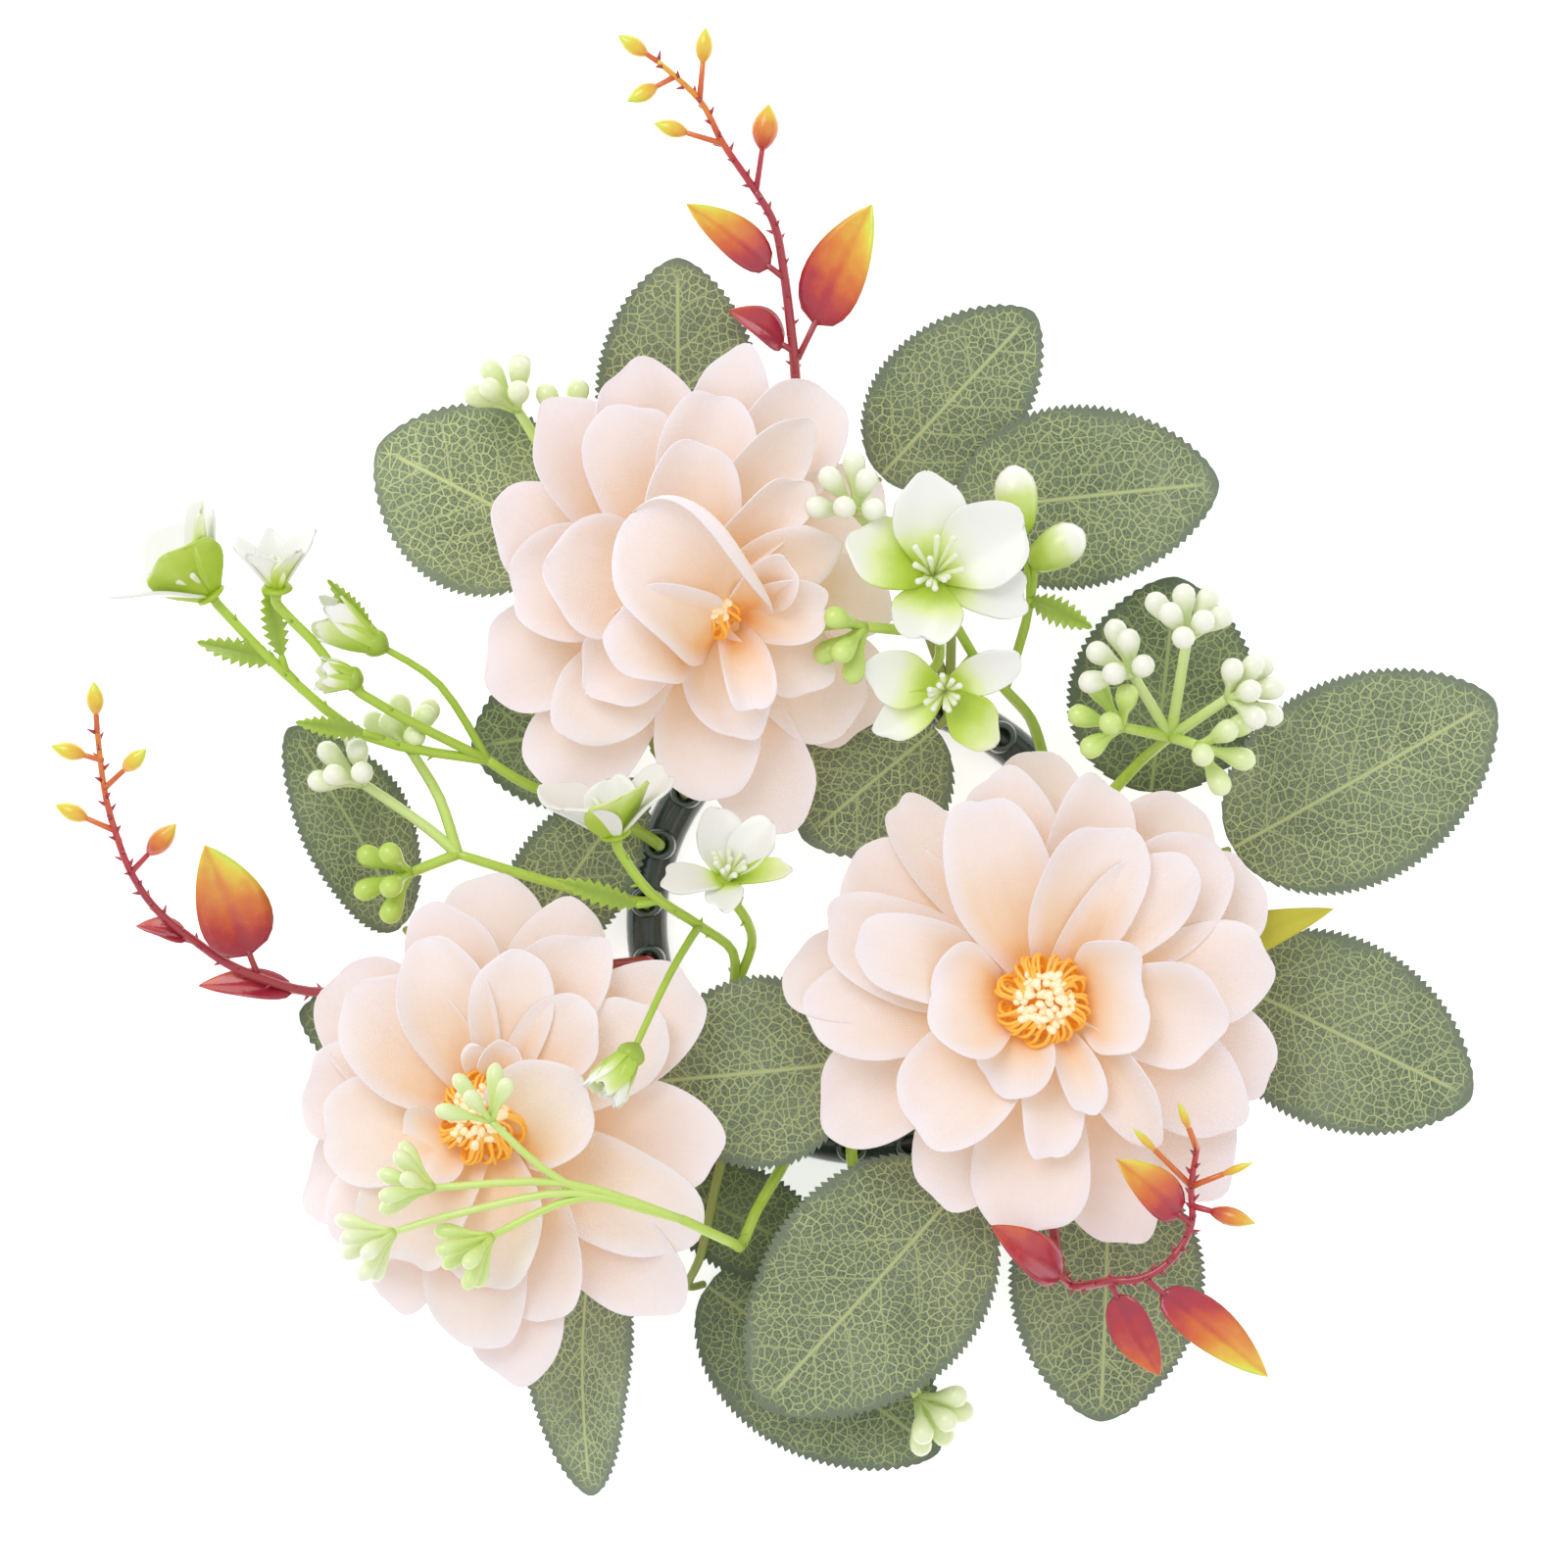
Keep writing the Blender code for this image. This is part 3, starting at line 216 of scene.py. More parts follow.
# Each bloom's petals as seen from its front: angle, length, width, rise and rise at the tip, cup, roll, and for
# a heart petal that leans over the stamens also the shift of its foot (x, y) and its hook
PETALS = {
    "bloom_top": {
        "petals_outer": (
            (76, 54, 19, 6, -4, 0.4, 8), (56, 55, 24, 4, -8, 0.45, 9), (30, 52, 22, 4, -8, 0.4, 9),
            (-29, 52, 24, 4, -3, 0.4, 9), (-68, 54, 22, 4, 1, 0.45, 9), (-123, 49, 23, 4, -8, 0.4, 9),
            (-160, 45, 25, 4, -8, 0.45, 9), (160, 45, 22, 4, -6, 0.4, 9), (128, 49, 22, 5, -4, 0.4, 9),
            (102, 52, 23, 6, -4, 0.4, 9)),
        "petals_middle": (
            (88, 45, 22, 14, 4, 0.6, 10), (62, 44, 18, 14, 6, 0.8, 12), (3, 44, 20, 10, 0, 0.5, 9),
            (-33, 46, 22, 9, -8, 0.5, 10), (-82, 44, 22, 9, -8, 0.5, 10), (-130, 40, 22, 10, -2, 0.6, 12),
            (172, 39, 25, 12, 0, 0.5, 9), (115, 44, 24, 13, 2, 0.6, 10)),
        "petals_inner": (
            (100, 36, 24, 30, 16, 0.7, 12), (52, 36, 15, 30, 18, 1.1, 16), (20, 33, 17, 28, 14, 0.9, 14),
            (-28, 34, 18, 22, 6, 0.7, 12), (-74, 32, 18, 24, 2, 0.8, 10), (-142, 30, 20, 24, 4, 0.7, 12),
            (168, 33, 26, 26, 6, 0.7, 10)),
        "petals_heart": (
            (132, 46, 36, 66, -14, 0.9, 4, 9.0, -8.4, 1.6), (62, 25, 15, 66, 40, 1.2, 16, 9.0, -4.5, 0.0),
            (166, 33, 23, 74, -14, 0.9, -14, 3.0, -9.8, 0.0), (-84, 24, 15, 60, 8, 1.5, 8, 8.0, -5.0, 0.0),
            (10, 25, 17, 54, 24, 1.2, 14, 7.0, -4.5, 0.0)),
    },
    "bloom_right": {
        "petals_outer": (
            (124, 53, 15, 6, -6, 0.5, 9), (146, 50, 24, 4, -8, 0.45, 9), (170, 54, 22, 3, -10, 0.4, 9),
            (-155, 54, 24, 3, -12, 0.45, 9), (-119, 50, 21, 3, -12, 0.4, 9), (-68, 56, 21, 2, -14, 0.4, 9),
            (-40, 56, 26, 3, -12, 0.4, 9), (-12, 54, 22, 3, -12, 0.4, 9), (27, 54, 23, 4, -8, 0.4, 9),
            (53, 55, 24, 5, -6, 0.4, 9), (87, 54, 24, 6, -4, 0.4, 9)),
        "petals_middle": (
            (181, 50, 22, 9, -6, 0.5, 10), (-94, 49, 26, 9, -8, 0.5, 9), (-27, 49, 24, 9, -6, 0.5, 9),
            (7, 50, 23, 11, -2, 0.5, 9), (38, 50, 24, 11, 0, 0.5, 10), (69, 49, 20, 12, 2, 0.5, 10),
            (100, 50, 20, 13, 4, 0.5, 10), (162, 48, 22, 11, 0, 0.5, 9)),
        "petals_inner": (
            (110, 47, 23, 20, 8, 0.5, 8), (67, 41, 23, 22, 10, 0.6, 10), (47, 42, 20, 19, 6, 0.6, 12),
            (-7, 38, 22, 18, 2, 0.6, 11), (-48, 38, 14, 22, 4, 1.1, 14), (-83, 34, 15, 20, 2, 0.9, 10),
            (-136, 39, 25, 18, 0, 0.6, 10), (160, 42, 18, 18, 4, 0.6, 10)),
        "petals_heart": (
            (182, 29, 27, 42, 2, 0.9, 12), (2, 27, 27, 46, 0, 0.9, 10), (-118, 25, 20, 46, -8, 1.3, 14),
            (-62, 30, 11, 40, 2, 1.2, -14)),
    },
    "bloom_left": {
        "petals_outer": (
            (94, 54, 25, 8, -2, 0.5, 8), (70, 50, 22, 6, -6, 0.45, 9), (35, 52, 25, 4, -10, 0.45, 9),
            (-5, 48, 24, 3, -12, 0.4, 9), (-48, 54, 22, 3, -12, 0.45, 9), (-83, 55, 24, 3, -14, 0.4, 9),
            (-130, 46, 24, 4, -10, 0.4, 9), (-165, 46, 22, 5, -8, 0.4, 9), (142, 48, 26, 6, -6, 0.4, 9)),
        "petals_middle": (
            (100, 48, 20, 16, 6, 0.6, 10), (64, 44, 20, 14, 4, 0.6, 10), (28, 42, 20, 10, -4, 0.5, 9),
            (-33, 50, 23, 9, -8, 0.5, 9), (-68, 44, 22, 9, -8, 0.5, 10), (-97, 48, 24, 9, -10, 0.5, 9),
            (-146, 42, 24, 10, -6, 0.5, 9), (168, 43, 22, 12, -2, 0.5, 9)),
        "petals_inner": (
            (135, 40, 25, 24, 10, 0.6, 8), (106, 41, 20, 28, 14, 0.8, 12), (72, 37, 18, 26, 12, 0.9, 14),
            (45, 34, 18, 24, 8, 0.7, 10), (-86, 36, 25, 18, -6, 0.6, 10), (-128, 36, 24, 18, -4, 0.6, 10),
            (-174, 36, 24, 20, 2, 0.6, 9)),
        "petals_heart": (
            (84, 22, 13, 50, 34, 1.4, 14), (30, 25, 25, 51, -12, 1.0, 16, 3.0, -6.5, 0.0),
            (60, 23, 13, 52, 32, 1.3, 12), (-150, 21, 20, 30, 0, 0.8, 9)),
    },
}


# ---------------------------------------------------------------- materials
class Nodes:
    """Short calls for building a material's node tree."""

    def __init__(self, name):
        self.mat = bpy.data.materials.new(name)
        self.mat.use_nodes = True
        self.tree = self.mat.node_tree
        self.shader = self.tree.nodes["Principled BSDF"]

    def add(self, kind, **settings):
        node = self.tree.nodes.new("ShaderNode" + kind)
        for key, value in settings.items():
            setattr(node, key, value)
        return node

    def link(self, a, b):
        self.tree.links.new(a, b)

    def put(self, socket, value):
        if isinstance(value, bpy.types.NodeSocket):
            self.tree.links.new(value, socket)
        else:
            socket.default_value = value

    def uv(self):
        return self.add("UVMap", uv_map="cloth").outputs["UV"]

    def attr(self, name):
        return self.add("Attribute", attribute_name=name).outputs["Fac"]

    def math(self, op, a, b=0.0):
        node = self.add("Math", operation=op)
        self.put(node.inputs[0], a)
        self.put(node.inputs[1], b)
        return node.outputs[0]

    def noise(self, vector, scale, detail=2.0):
        node = self.add("TexNoise")
        self.link(vector, node.inputs["Vector"])
        node.inputs["Scale"].default_value = scale
        node.inputs["Detail"].default_value = detail
        return node.outputs["Fac"]

    def scale(self, vector, xyz):
        node = self.add("VectorMath", operation="MULTIPLY")
        self.link(vector, node.inputs[0])
        node.inputs[1].default_value = xyz
        return node.outputs[0]

    def ramp(self, fac, stops):
        node = self.add("ValToRGB")
        marks = node.color_ramp.elements
        while len(marks) < len(stops):
            marks.new(0.5)
        for mark, (at, colour) in zip(marks, stops):
            mark.position = at
            mark.color = (*colour, 1.0)
        self.link(fac, node.inputs["Fac"])
        return node.outputs["Color"]

    def mix(self, fac, a, b, blend="MIX"):
        node = self.add("Mix", data_type="RGBA", blend_type=blend)
        self.put(node.inputs["Factor"], fac)
        self.put(node.inputs["A"], a if isinstance(a, bpy.types.NodeSocket) else (*a, 1.0))
        self.put(node.inputs["B"], b if isinstance(b, bpy.types.NodeSocket) else (*b, 1.0))
        return node.outputs["Result"]

    def span(self, value, low, high, to_low=0.0, to_high=1.0):
        node = self.add("MapRange", clamp=True)
        self.link(value, node.inputs["Value"])
        node.inputs["From Min"].default_value = low
        node.inputs["From Max"].default_value = high
        node.inputs["To Min"].default_value = to_low
        node.inputs["To Max"].default_value = to_high
        return node.outputs["Result"]

    def bump(self, height, strength, distance):
        node = self.add("Bump")
        node.inputs["Strength"].default_value = strength
        node.inputs["Distance"].default_value = distance
        self.link(height, node.inputs["Height"])
        self.link(node.outputs["Normal"], self.shader.inputs["Normal"])

    def finish(self, colour, roughness, **sockets):
        self.link(colour, self.shader.inputs["Base Color"])
        self.put(self.shader.inputs["Roughness"], roughness)
        for key, value in sockets.items():
            self.shader.inputs[key.replace("_", " ")].default_value = value
        return self.mat


def srgb(text):
    """A linear colour from a hexadecimal one."""
    raw = [int(text[i : i + 2], 16) / 255 for i in (0, 2, 4)]
    return tuple(c / 12.92 if c <= 0.04045 else ((c + 0.055) / 1.055) ** 2.4 for c in raw)


def stops(*pairs):
    """A ramp's stops, from places and hexadecimal colours."""
    return tuple((at, srgb(text)) for at, text in pairs)


def weave(n, uv, across, along):
    """Height of a plain weave: threads across and along, from UVs that count 50 mm as 1."""
    a = n.add("TexWave", wave_type="BANDS", bands_direction="X")
    a.inputs["Scale"].default_value = across
    a.inputs["Distortion"].default_value = 0.6
    a.inputs["Detail Scale"].default_value = 2.0
    b = n.add("TexWave", wave_type="BANDS", bands_direction="Y")
    b.inputs["Scale"].default_value = along
    b.inputs["Distortion"].default_value = 0.6
    n.link(uv, a.inputs["Vector"])
    n.link(uv, b.inputs["Vector"])
    return n.math("ADD", a.outputs["Fac"], b.outputs["Fac"])


def petal_fabric(name, warmth):
    """Blush woven fabric: peach at the foot, pink-white at the rim.

    A faint warm glow stands for the light that shows through it.
    """
    n = Nodes(name)
    uv = n.uv()
    along = n.attr("along")
    rim = n.attr("rim")
    tone = n.attr("tone")
    streak = n.noise(n.scale(uv, (60.0, 3.0, 1.0)), 1.0, 3.0)
    cloud = n.noise(n.scale(uv, (3.0, 3.0, 1.0)), 1.4, 2.0)
    place = n.math("ADD", along, n.math("MULTIPLY", n.math("SUBTRACT", streak, 0.5), 0.06))
    place = n.math("ADD", place, n.math("MULTIPLY", n.math("SUBTRACT", cloud, 0.5), 0.25))
    place = n.math("SUBTRACT", place, warmth)
    body = n.ramp(place, stops(
        (0.0, "F0963E"), (0.10, "F5B878"), (0.26, "F6D0AC"), (0.48, "F6DDC8"), (0.72, "F5E5DC"),
        (1.0, "F4EAE8")))
    edge = n.span(rim, 0.0, 4.2, 0.85, 0.0)
    body = n.mix(edge, body, srgb("F3EDEF"))
    tint = n.math("MULTIPLY", n.span(cloud, 0.3, 0.7, 0.97, 1.0), tone)
    tint = n.math("MULTIPLY", tint, n.span(streak, 0.25, 0.75, 0.985, 1.005))
    # The base colour is dimmed most in red and least in blue to make room for the warm glow below, so the
    # cloth's shade turns peach: painted light for light through the cloth. The cloud, streak and tone tints are
    # the cloth's own uneven colour.
    grey = n.add("CombineColor")
    for k, part in enumerate((0.80, 0.87, 0.98)):
        n.link(n.math("MULTIPLY", tint, part), grey.inputs[k])
    body = n.mix(1.0, body, grey.outputs[0], "MULTIPLY")
    height = n.math("ADD", n.math("MULTIPLY", weave(n, uv, 50.0, 50.0), 0.5), n.math("MULTIPLY", streak, 0.6))
    n.bump(height, 0.35, 0.0002)
    # Painted warm glow: it stands for the light that shows through the cloth
    n.put(n.shader.inputs["Emission Color"], (1.0, 0.55, 0.18, 1.0))
    rough = n.span(streak, 0.2, 0.8, 0.72, 0.86)
    return n.finish(body, rough, Sheen_Weight=0.15, Sheen_Roughness=0.4, Emission_Strength=0.20,
                    Specular_IOR_Level=0.2)


def leaf_fabric(name, dark):
    """Grey-green fabric printed with a pale net of veins, plain along its rim."""
    n = Nodes(name)
    uv = n.uv()
    rim = n.attr("rim")
    side = n.attr("side")
    px, py, pitch = n.attr("px"), n.attr("py"), n.attr("pitch")
    rib = n.math("ABSOLUTE", px)
    reach = n.math("MULTIPLY", rib, n.math("ADD", n.math("MULTIPLY", rib, 0.012), 0.72))
    lane = n.math("DIVIDE", n.math("SUBTRACT", py, reach), pitch)
    lane = n.math("ADD", lane, n.math("MULTIPLY", n.noise(uv, 2.2, 2.0), 0.55))
    near = n.math("MULTIPLY", n.math("ABSOLUTE", n.math("SUBTRACT", lane, n.math("ROUND", lane))), pitch)
    warp = n.add("TexNoise")
    n.link(uv, warp.inputs["Vector"])
    warp.inputs["Scale"].default_value = 7.0
    bent = n.add("VectorMath", operation="MULTIPLY_ADD")
    n.link(warp.outputs["Color"], bent.inputs[0])
    bent.inputs[1].default_value = (0.05, 0.05, 0.0)
    n.link(uv, bent.inputs[2])

    def net(scale, low, high, most):
        cells = n.add("TexVoronoi", feature="DISTANCE_TO_EDGE", voronoi_dimensions="2D")
        cells.inputs["Scale"].default_value = scale
        n.link(bent.outputs[0], cells.inputs["Vector"])
        return n.span(cells.outputs["Distance"], low, high, most, 0.0)

    mesh = n.math("MAXIMUM", net(28.0, 0.045, 0.115, 1.0), net(56.0, 0.04, 0.15, 0.4))
    thin = n.math("SUBTRACT", 1.0, n.math("MULTIPLY", rib, 0.03))
    side_veins = n.math("MULTIPLY", n.span(near, 0.10, 0.42, 0.85, 0.0), thin)
    ribs = n.math("MAXIMUM", n.span(rib, 0.22, 0.60, 1.0, 0.0), side_veins)
    patch = n.noise(uv, 5.0, 3.0)
    inside = n.span(n.math("ADD", rim, n.math("MULTIPLY", n.math("SUBTRACT", patch, 0.5), 5.0)), 1.0, 2.8)
    strength = n.math("MULTIPLY", n.math("MULTIPLY", mesh, inside), n.span(patch, 0.25, 0.65, 0.62, 1.0))
    strength = n.math("MAXIMUM", strength, n.math("MULTIPLY", ribs, n.span(rim, 2.0, 5.0)))
    strength = n.math("MULTIPLY", strength, side)
    # With dark set, each colour below is a darker copy: painted shade for leaves lying under other parts
    ground = n.ramp(n.noise(uv, 3.2, 4.0), stops(
        (0.28, ("626F5A", "53604A")[dark]), (0.55, ("737F68", "647159")[dark]),
        (0.80, ("848E77", "738066")[dark])))
    ground = n.mix(side, srgb("84968A"), ground)
    rimmed = n.mix(inside, n.mix(0.5, ground, srgb(("808B78", "687660")[dark])), ground)
    colour = n.mix(n.math("MULTIPLY", strength, 0.96), rimmed, srgb(("BEC88E", "A0B072")[dark]))
    shade = n.add("CombineColor")
    for k in range(3):
        n.link(n.attr("tone"), shade.inputs[k])
    colour = n.mix(1.0, colour, shade.outputs[0], "MULTIPLY")
    cloth = weave(n, uv, 44.0, 44.0)
    height = n.math("ADD", n.math("MULTIPLY", cloth, 0.55), n.math("MULTIPLY", strength, -0.6))
    n.bump(height, 0.45, 0.00025)
    return n.finish(colour, n.span(cloth, 0.4, 1.6, 0.62, 0.78), Sheen_Weight=0.12, Specular_IOR_Level=0.35)


def moulded(name, colours, gloss=0.32, speckle=0.10, coat=0.25, light=0.0):
    """Moulded plastic whose colour runs along each piece, with slight mottling and flow marks; where light is
    given, that colour also glows faintly, painted light that lifts its shade.
    """
    n = Nodes(name)
    spot = n.add("TexCoord").outputs["Object"]
    mottle = n.noise(spot, 260.0, 3.0)
    shift = n.math("MULTIPLY", n.math("SUBTRACT", mottle, 0.5), speckle * 2)
    colour = n.ramp(n.math("ADD", n.attr("along"), shift), stops(*colours))
    n.bump(n.noise(spot, 900.0, 2.0), 0.12, 0.00012)
    # The piece glows in its own colour, as strongly as light says: painted light that lifts its shade, not a
    # lamp
    n.link(colour, n.shader.inputs["Emission Color"])
    return n.finish(colour, n.span(mottle, 0.3, 0.7, gloss - 0.06, gloss + 0.08), Coat_Weight=coat,
                    Coat_Roughness=0.15, Emission_Strength=light)


def make_looks():
    green = ((0.0, "6E7B33"), (0.5, "8C9646"), (1.0, "9AA552"))
    return {
        "petals_outer": petal_fabric("petal_outer_cloth", -0.06),
        "petals_middle": petal_fabric("petal_middle_cloth", 0.0),
        "petals_inner": petal_fabric("petal_inner_cloth", 0.04),
        "petals_heart": petal_fabric("petal_heart_cloth", 0.08),
        "leaf": leaf_fabric("leaf_cloth", 0),
        # Darker copy of the leaf cloth: painted shade for the leaves lying under other parts
        "leaf_shaded": leaf_fabric("leaf_cloth_shaded", 1),
        "ring": moulded("ring_gloss", (
            (0.0, "1E2A26"), (0.6, "2E3B36"), (1.0, "43524B")), gloss=0.24, speckle=0.2, coat=0.5),
        "stem": moulded("stem_olive", green, gloss=0.42),
        "sepal": moulded("sepal_cloth", (
            (0.0, "A0A030"), (0.5, "B4AE2E"), (1.0, "C2BB3A")), gloss=0.6, speckle=0.3, coat=0.0),
        "pick": moulded("pick_olive", green, gloss=0.42),
        # The light values below give a faint glow: painted light that lifts the stamens, berries and blossoms
        # out of shade
        "stamens": moulded("stamen_gold", (
            (0.0, "E6991F"), (0.40, "F0AD38"), (0.76, "F5B94E"), (0.86, "F8DCA6"), (1.0, "F6E6C6")),
            gloss=0.4, speckle=0.04, light=0.16),
        "sprig": moulded("sprig_red", (
            (0.0, "A0382F"), (0.18, "A22A40"), (0.30, "B43038"), (0.44, "CE5A2C"), (0.62, "DC8A2A"),
            (0.82, "E3C53C"), (0.92, "D9DC48"), (1.0, "C9DC52")), gloss=0.24, speckle=0.12, coat=0.5),
        "berry": moulded("berry_green", (
            (0.0, "9DBB32"), (0.15, "AFCB4C"), (0.35, "C6DC7C"), (0.6, "DCE6B4"), (0.8, "E6E9D4"),
            (1.0, "EBEBE0")), gloss=0.30, speckle=0.05, light=0.04),
        "blossom": moulded("blossom_white", (
            (0.0, "9FB92C"), (0.20, "B4CC48"), (0.40, "D5E09A"), (0.60, "DFE2D0"), (1.0, "E1E1DD")),
            gloss=0.42, speckle=0.10, light=0.09),
        "blossom_stem": moulded("blossom_stem_green", (
            (0.0, "86A030"), (0.25, "A3C03C"), (0.5, "B2CC4E"), (0.66, "CCDB88"), (0.8, "E8EBD6"),
            (1.0, "EEEEEA")), gloss=0.34, speckle=0.08, light=0.03),
    }


# ---------------------------------------------------------------- mesh helpers
CRISP_ANGLE = math.radians(50)


class Shell:
    """Collects vertices (mm, ring frame), faces, UVs and per-vertex attributes, then makes one piece."""

    def __init__(self):
        self.verts, self.faces, self.uvs = [], [], []
        self.attrs = {}
        self.count = 0

    def add(self, verts, faces, uvs=None, **attrs):
        verts = np.asarray(verts, float).reshape(-1, 3)
        n = len(verts)
        self.faces += [tuple(i + self.count for i in f) for f in faces]
        self.verts.append(verts)
        self.uvs.append(np.zeros((n, 2)) if uvs is None else np.asarray(uvs, float).reshape(-1, 2))
        for key in set(self.attrs) | set(attrs):
            value = np.asarray(attrs.get(key, 0.0), float).reshape(-1)
            self.attrs.setdefault(key, [np.zeros(self.count)] if self.count else [])
            self.attrs[key].append(np.broadcast_to(value, (n,)))
        self.count += n

    def piece(self, name, material, body, *nodes, slot, crisp=False):
        verts = np.concatenate(self.verts) * MM + np.array(RING_CENTRE)
        mesh = bpy.data.meshes.new(name)
        mesh.from_pydata(verts.tolist(), [], self.faces)
        mesh.validate()
        loops = np.empty(len(mesh.loops), np.int32)
        mesh.loops.foreach_get("vertex_index", loops)
        layer = mesh.uv_layers.new(name="cloth")
        layer.data.foreach_set("uv", np.concatenate(self.uvs)[loops].astype(np.float32).ravel())
        for key, values in self.attrs.items():
            made = mesh.attributes.new(key, "FLOAT", "POINT")
            made.data.foreach_set("value", np.concatenate(values).astype(np.float32))
        mesh.shade_smooth()
        if crisp:
            mesh.set_sharp_from_angle(angle=CRISP_ANGLE)
        mesh.materials.append(material)
        obj = bpy.data.objects.new(name, mesh)
        bpy.context.scene.collection.objects.link(obj)
        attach(obj, body)
        if nodes:
            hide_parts(*nodes)
        return obj


def grid_faces(rows, cols, wrap=False):
    faces = []
    for i in range(rows - 1):
        for k in range(cols if wrap else cols - 1):
            a, b = i * cols + k, i * cols + (k + 1) % cols
            faces.append((a, b, b + cols, a + cols))
    return faces


def sheet_faces(rows, cols):
    """Faces of a closed sheet: its upper grid, its lower grid and the rim between them."""
    n = rows * cols
    faces = [tuple(reversed(f)) for f in grid_faces(rows, cols)]
    faces += [tuple(i + n for i in f) for f in grid_faces(rows, cols)]
    loop = list(range(cols)) + [i * cols + cols - 1 for i in range(1, rows)]
    loop += [(rows - 1) * cols + k for k in reversed(range(cols - 1))]
    loop += [i * cols for i in reversed(range(1, rows - 1))]
    return faces + [(p, r, r + n, p + n) for p, r in zip(loop, loop[1:] + loop[:1])]


def two_sided(shell, verts, offset, to=None, uv=None, low=None, **attrs):
    """A closed sheet between a grid of points plus and minus an offset.

    Rows run outward and columns sideways; low says by how much an attribute is multiplied below.
    """
    rows, cols = verts.shape[:2]
    both = np.concatenate([(verts + offset).reshape(-1, 3), (verts - offset).reshape(-1, 3)])
    if to is not None:
        both = through(to, both)
    flat = {}
    for key, value in attrs.items():
        top = np.broadcast_to(np.asarray(value, float), (rows, cols)).ravel()
        flat[key] = np.concatenate([top, top * (low or {}).get(key, 1.0)])
    uvs = None if uv is None else np.concatenate([uv.reshape(-1, 2)] * 2)
    shell.add(both, sheet_faces(rows, cols), uvs, **flat)


def slab(shell, verts, thick, to=None, uv=None, low=None, **attrs):
    """A closed sheet of one thickness round a grid of points."""
    normal = np.cross(np.gradient(verts, axis=0), np.gradient(verts, axis=1))
    normal /= np.maximum(np.linalg.norm(normal, axis=2, keepdims=True), 1e-9)
    two_sided(shell, verts, normal * (thick / 2), to, uv, low, **attrs)


def turned(profile, count):
    """Points of a round shape about Z, from rows of (radius, height)."""
    angles = np.linspace(0, 2 * math.pi, count, endpoint=False)
    return [(r * math.cos(a), r * math.sin(a), z) for r, z in profile for a in angles]


def blade_frame(base, tip, roll=0.0):
    """A blade's foot and length, and its directions along, across and up."""
    a, b = Vector(base), Vector(tip)
    along = (b - a).normalized()
    across = along.cross(UP).normalized()
    lift = across.cross(along).normalized()
    spin = Matrix.Rotation(math.radians(roll), 3, along)
    return np.array(a), (b - a).length, np.array(along), np.array(spin @ across), np.array(spin @ lift)


def smooth_path(points, steps=4, rise=0.0):
    path = [Vector(p) for p in points]
    out = []
    for i in range(len(path) - 1):
        p0 = path[i - 1] if i else path[0] - UP * rise
        p1, p2 = path[i], path[i + 1]
        p3 = path[min(i + 2, len(path) - 1)]
        for k in range(steps):
            t = k / steps
            out.append(0.5 * (2 * p1 + (p2 - p0) * t + (2 * p0 - 5 * p1 + 4 * p2 - p3) * t * t
                              + (3 * p1 - p0 - 3 * p2 + p3) * t**3))
    out.append(path[-1])
    return out


def taper(count, start, end):
    return list(np.linspace(start, end, count))


def tube(shell, points, radii, sides, along, cap=True):
    """A round rod with rounded ends; the attribute runs along it."""
    path = [Vector(p) for p in points]
    radii = list(radii)
    if cap:
        lead = (path[1] - path[0]).normalized()
        tail = (path[-1] - path[-2]).normalized()
        path = [path[0] - lead * radii[0] * 0.3] + path + [path[-1] + tail * radii[-1] * 0.4]
        radii = [radii[0] * 0.5] + radii + [radii[-1] * 0.5]
    verts, side = [], None
    for i, here in enumerate(path):
        ahead = (path[min(i + 1, len(path) - 1)] - path[max(i - 1, 0)]).normalized()
        if side is None:
            side = Vector((1, 0, 0)) if abs(ahead.x) < 0.9 else Vector((0, 1, 0))
        side = (side - ahead * side.dot(ahead)).normalized()
        other = ahead.cross(side)
        for k in range(sides):
            angle = 2 * math.pi * k / sides
            verts.append(here + (side * math.cos(angle) + other * math.sin(angle)) * radii[i])
    faces = grid_faces(len(path), sides, True) + [tuple(reversed(range(sides)))]
    last = (len(path) - 1) * sides
    faces.append(tuple(range(last, last + sides)))
    run = np.repeat(np.linspace(along[0], along[1], len(path)), sides)
    shell.add([tuple(v) for v in verts], faces, along=run)


def socket_spot(index):
    angle = math.radians(10.0 + 15.0 * index)
    return SOCKET_CIRCLE * math.cos(angle), SOCKET_CIRCLE * math.sin(angle)


def stem_path(index, way, steps=4):
    x, y = socket_spot(index)
    return [Vector((x, y, PIN_FLOOR))] + smooth_path([(x, y, SOCKET_TOP + 0.9)] + list(way), steps, 9.0)


def facing_frame(foot, axis):
    turn = UP.rotation_difference(Vector(axis).normalized()).to_matrix().to_4x4()
    return Matrix.Translation(Vector(foot)) @ turn


def through(matrix, verts):
    m = np.array(matrix)
    return np.asarray(verts) @ m[:3, :3].T + m[:3, 3]


